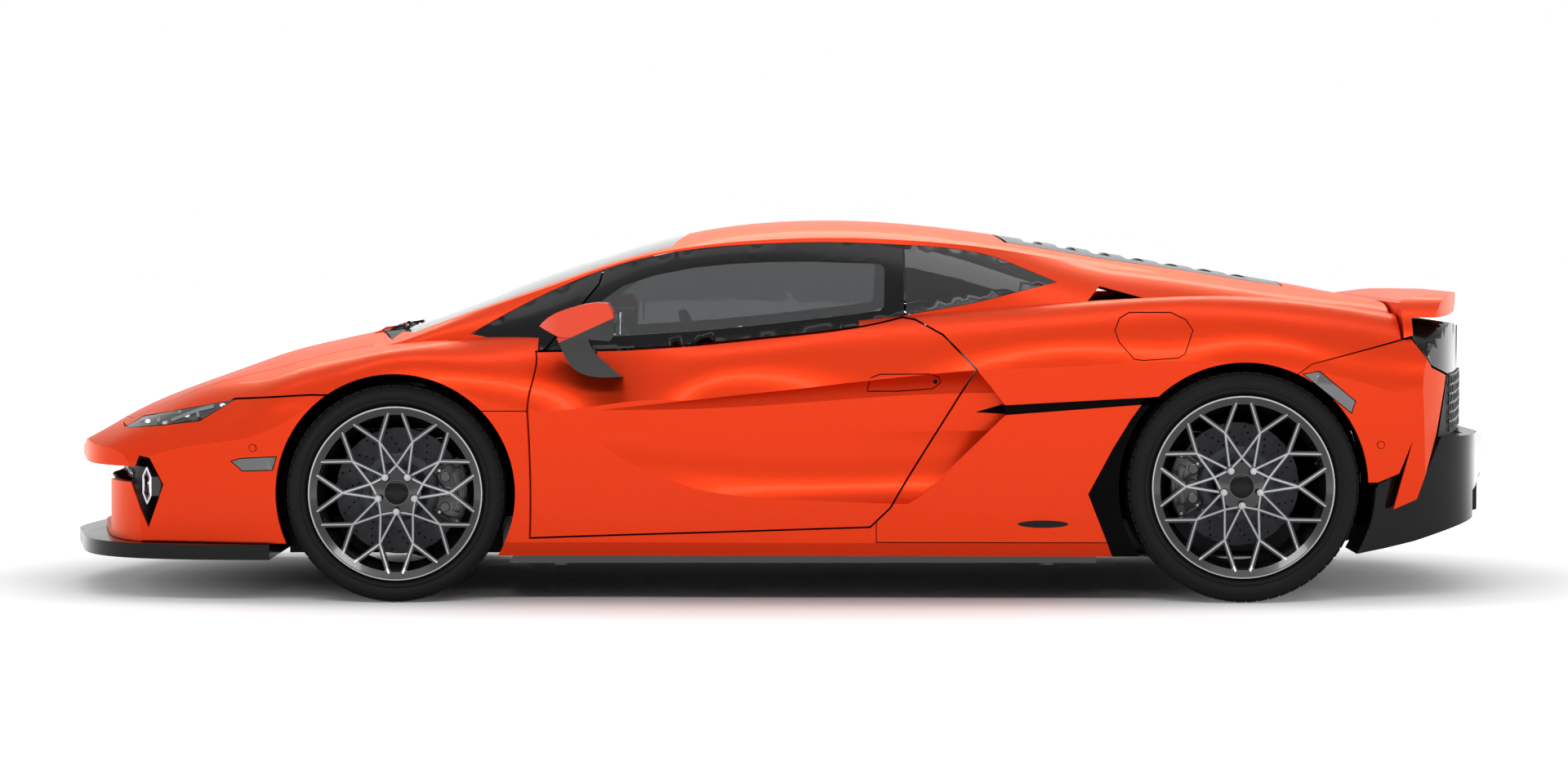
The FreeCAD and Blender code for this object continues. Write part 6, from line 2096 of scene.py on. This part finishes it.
    def door_panel(self, fitter: Fitter) -> None:
        """Make the inner door panel with armrest, pocket, pull, speaker and top roll."""
        for name, finish in (("door_panel_left", "suede"), ("door_armrest_left", "leather")):
            parts = [slab.shape() for slab in self.door_slabs if slab.finish == finish]
            fitter.fit_both(Bench.join(parts, name), finish, "door_left")
        pull = Bench.tube(Bench.flow([(-0.400, -0.790, 0.560), (-0.392, -0.762, 0.585), (-0.330, -0.752, 0.650),
                                      (-0.280, -0.762, 0.700), (-0.272, -0.790, 0.708)], 6), 0.0075)
        fitter.fit_both(pull, "composite", "door_left", "door_pull_left")
        centre = (-0.580, -0.790, 0.560)
        ring = Bench.lathe([(0.0, 0.060), (0.0, 0.076), (0.008, 0.073), (0.009, 0.062)], centre, 48)
        grille = Bench.lathe([(0.0, 0.0), (0.0, 0.061), (0.003, 0.061), (0.0055, 0.030), (0.006, 0.0)], centre, 48)
        Bench.smooth(ring, 40)
        fitter.fit_both(Bench.join([ring, grille], "speaker_left"), "satin_black", "door_left")


@dataclass
class Gear:
    """Springs, dampers and drive shafts behind the wheels."""

    coils: float = 6.5
    coil_radius: float = 0.044
    wire: float = 0.0055

    def build(self, fitter: Fitter, corner: Corner) -> None:
        """Make one corner's damper with its spring, and the half shaft at the back.

        Args:
            fitter: Fits the pieces.
            corner: The wheel they stand by, on the left.
        """
        x, _, z = corner.centre
        axle = corner.axle.value
        low, high = Vector((x, -0.600, z - 0.135)), Vector((x, -0.486, 0.512))
        parts = [Bench.rod(low.lerp(high, start), low.lerp(high, end), radius, sides) for start, end, radius, sides in
                 ((0.0, 0.52, 0.021, 24), (0.5, 1.0, 0.009, 16), (0.17, 0.20, 0.053, 32), (0.93, 0.98, 0.053, 32))]
        parts.append(Bench.box((x - 0.048, -0.536, 0.508), (x + 0.048, -0.440, 0.524), 0.004))
        parts.append(Bench.lathe([(-0.016, 0.010), (-0.016, 0.021), (0.016, 0.021), (0.016, 0.010)], tuple(low), 24))
        damper = Bench.join(parts, f"damper_{axle}_left")
        Bench.smooth(damper, 40)
        fitter.fit_both(damper, "coated_alloy")
        fitter.fit_both(self.spring(low.lerp(high, 0.20), low.lerp(high, 0.93), f"spring_{axle}_left"), "piping")
        if corner.axle is Axle.REAR:
            self.half_shaft(fitter, corner)

    def spring(self, low: Vector, high: Vector, name: str) -> Shape:
        """Wind a spring between two points."""
        run = high - low
        frame = run.to_track_quat("Z", "Y").to_matrix()
        count = int(self.coils * 18)
        points = []
        for index in range(count + 1):
            turn = 2 * math.pi * self.coils * index / count
            place = Vector((self.coil_radius * math.cos(turn), self.coil_radius * math.sin(turn),
                            self.wire + (run.length - 2 * self.wire) * index / count))
            points.append(low + frame @ place)
        return Bench.freeze(Bench.tube(points, self.wire, detail=2), name)

    @staticmethod
    def half_shaft(fitter: Fitter, corner: Corner) -> None:
        """Make the rear half shaft with a gaiter at each end."""
        x, _, z = corner.centre
        inner, outer = 0.452, 0.712
        middle = (x, -(inner + outer) / 2, z)
        half = (outer - inner) / 2
        inboard = ((0, 0), (0, 44), (14, 46), (22, 36), (32, 39), (42, 29), (52, 32), (64, 15))
        outboard = ((74, 15), (62, 34), (52, 31), (42, 43), (32, 39), (22, 50), (0, 52), (0, 0))
        profile = [(along / 1000 - half, radius / 1000) for along, radius in inboard]
        profile += [(half - along / 1000, radius / 1000) for along, radius in outboard]
        shaft = Bench.lathe(profile, middle, 40)
        Bench.smooth(shaft, 40)
        fitter.fit_both(shaft, "satin_black", name="half_shaft_left")


@dataclass
class WheelHouse:
    """The inner wall of a wheel house, notched for the arms, the damper and the shaft."""

    notch_half: float = 0.152
    notch_top: float = 0.525
    foot: float = 0.240
    steps: int = 28

    def build(self, fitter: Fitter, corner: Corner) -> None:
        """Make the wall on both sides of one axle.

        Args:
            fitter: Fits the pieces.
            corner: The axle's left wheel.
        """
        x, _, z = corner.centre
        radius, near = (0.4118, -0.501) if corner.axle is Axle.FRONT else (0.4138, -0.641)
        dip = math.degrees(math.asin((self.foot - z) / radius))
        outline = []
        for index in range(self.steps + 1):
            turn = math.radians(dip + (180 - 2 * dip) * index / self.steps)
            outline.append((x + radius * math.cos(turn), z + radius * math.sin(turn)))
        outline += [(x - self.notch_half, self.foot), (x - self.notch_half, self.notch_top),
                    (x + self.notch_half, self.notch_top), (x + self.notch_half, self.foot)]
        wall = Bench.side_plate(outline, near, near + 0.004)
        ribs = []
        for angle in (35, 62, 90, 118, 145):
            turn = math.radians(angle)
            start, end = ((x + reach * math.cos(turn), near, z + reach * math.sin(turn)) for reach in (0.24, 0.39))
            ribs.append(Bench.rod(start, end, 0.006, 10))
        fitter.fit_both(Bench.join([wall] + ribs, f"wheel_house_{corner.axle.value}_left"), "matt_black")
        if corner.axle is Axle.REAR:
            # A matt black plate behind the seam so the gap reads dark: a dark sheet standing for the shade there.
            backing = Bench.side_plate([(1.790, 0.745), (1.900, 0.765), (1.900, 0.815), (1.790, 0.800)], -0.620, -0.616,
                                       0.001)
            fitter.fit_both(backing, "matt_black", name="seam_backing_left")


@dataclass
class DoorMirror:
    """The glass in each door mirror."""

    def build(self, fitter: Fitter) -> None:
        """Make both glasses, set in their housings' rear faces."""
        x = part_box("mirror_left")[1].x
        corners = ((-1.094, 0.900), (-1.098, 0.870), (-1.088, 0.846), (-0.968, 0.844), (-0.952, 0.862), (-0.952, 0.906),
                   (-0.972, 0.918), (-1.060, 0.914))
        glass = Bench.plate([(x - 0.004, y, z) for y, z in corners], (0.0045, 0, 0), 0.0015, 2)
        fitter.fit_both(glass, "mirror_glass", "door_left", "mirror_glass_left")


def main(frame: dict) -> None:
    """Dress the car.
    """
    logging.basicConfig(level=logging.INFO, format="%(name)s: %(message)s")
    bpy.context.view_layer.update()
    Studio().build()
    shop = Paintshop()
    shop.coat_nodes(frame["nodes"])
    LOG.info("finishes on %d nodes", len(frame["nodes"]))
    fitter = Fitter(shop)
    for axle, disc in ((Axle.FRONT, 0.200), (Axle.REAR, 0.195)):
        for side in Side:
            corner = Corner.read(axle, side)
            for maker in (Tyre(corner), WheelFace(corner), Brake(corner, disc)):
                maker.build(fitter)
        Gear().build(fitter, Corner.read(axle, Side.LEFT))
        WheelHouse().build(fitter, Corner.read(axle, Side.LEFT))
    LOG.info("wheels done")
    for group in (Lamps(), Glazing(), FlankTrim(), Wipers(), Openwork(), Seat(), Dashboard(), Helm(), Cabin(),
                  DoorMirror()):
        group.build(fitter)
        LOG.info("%s done", type(group).__name__)


if __name__ == "__main__":
    main(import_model())
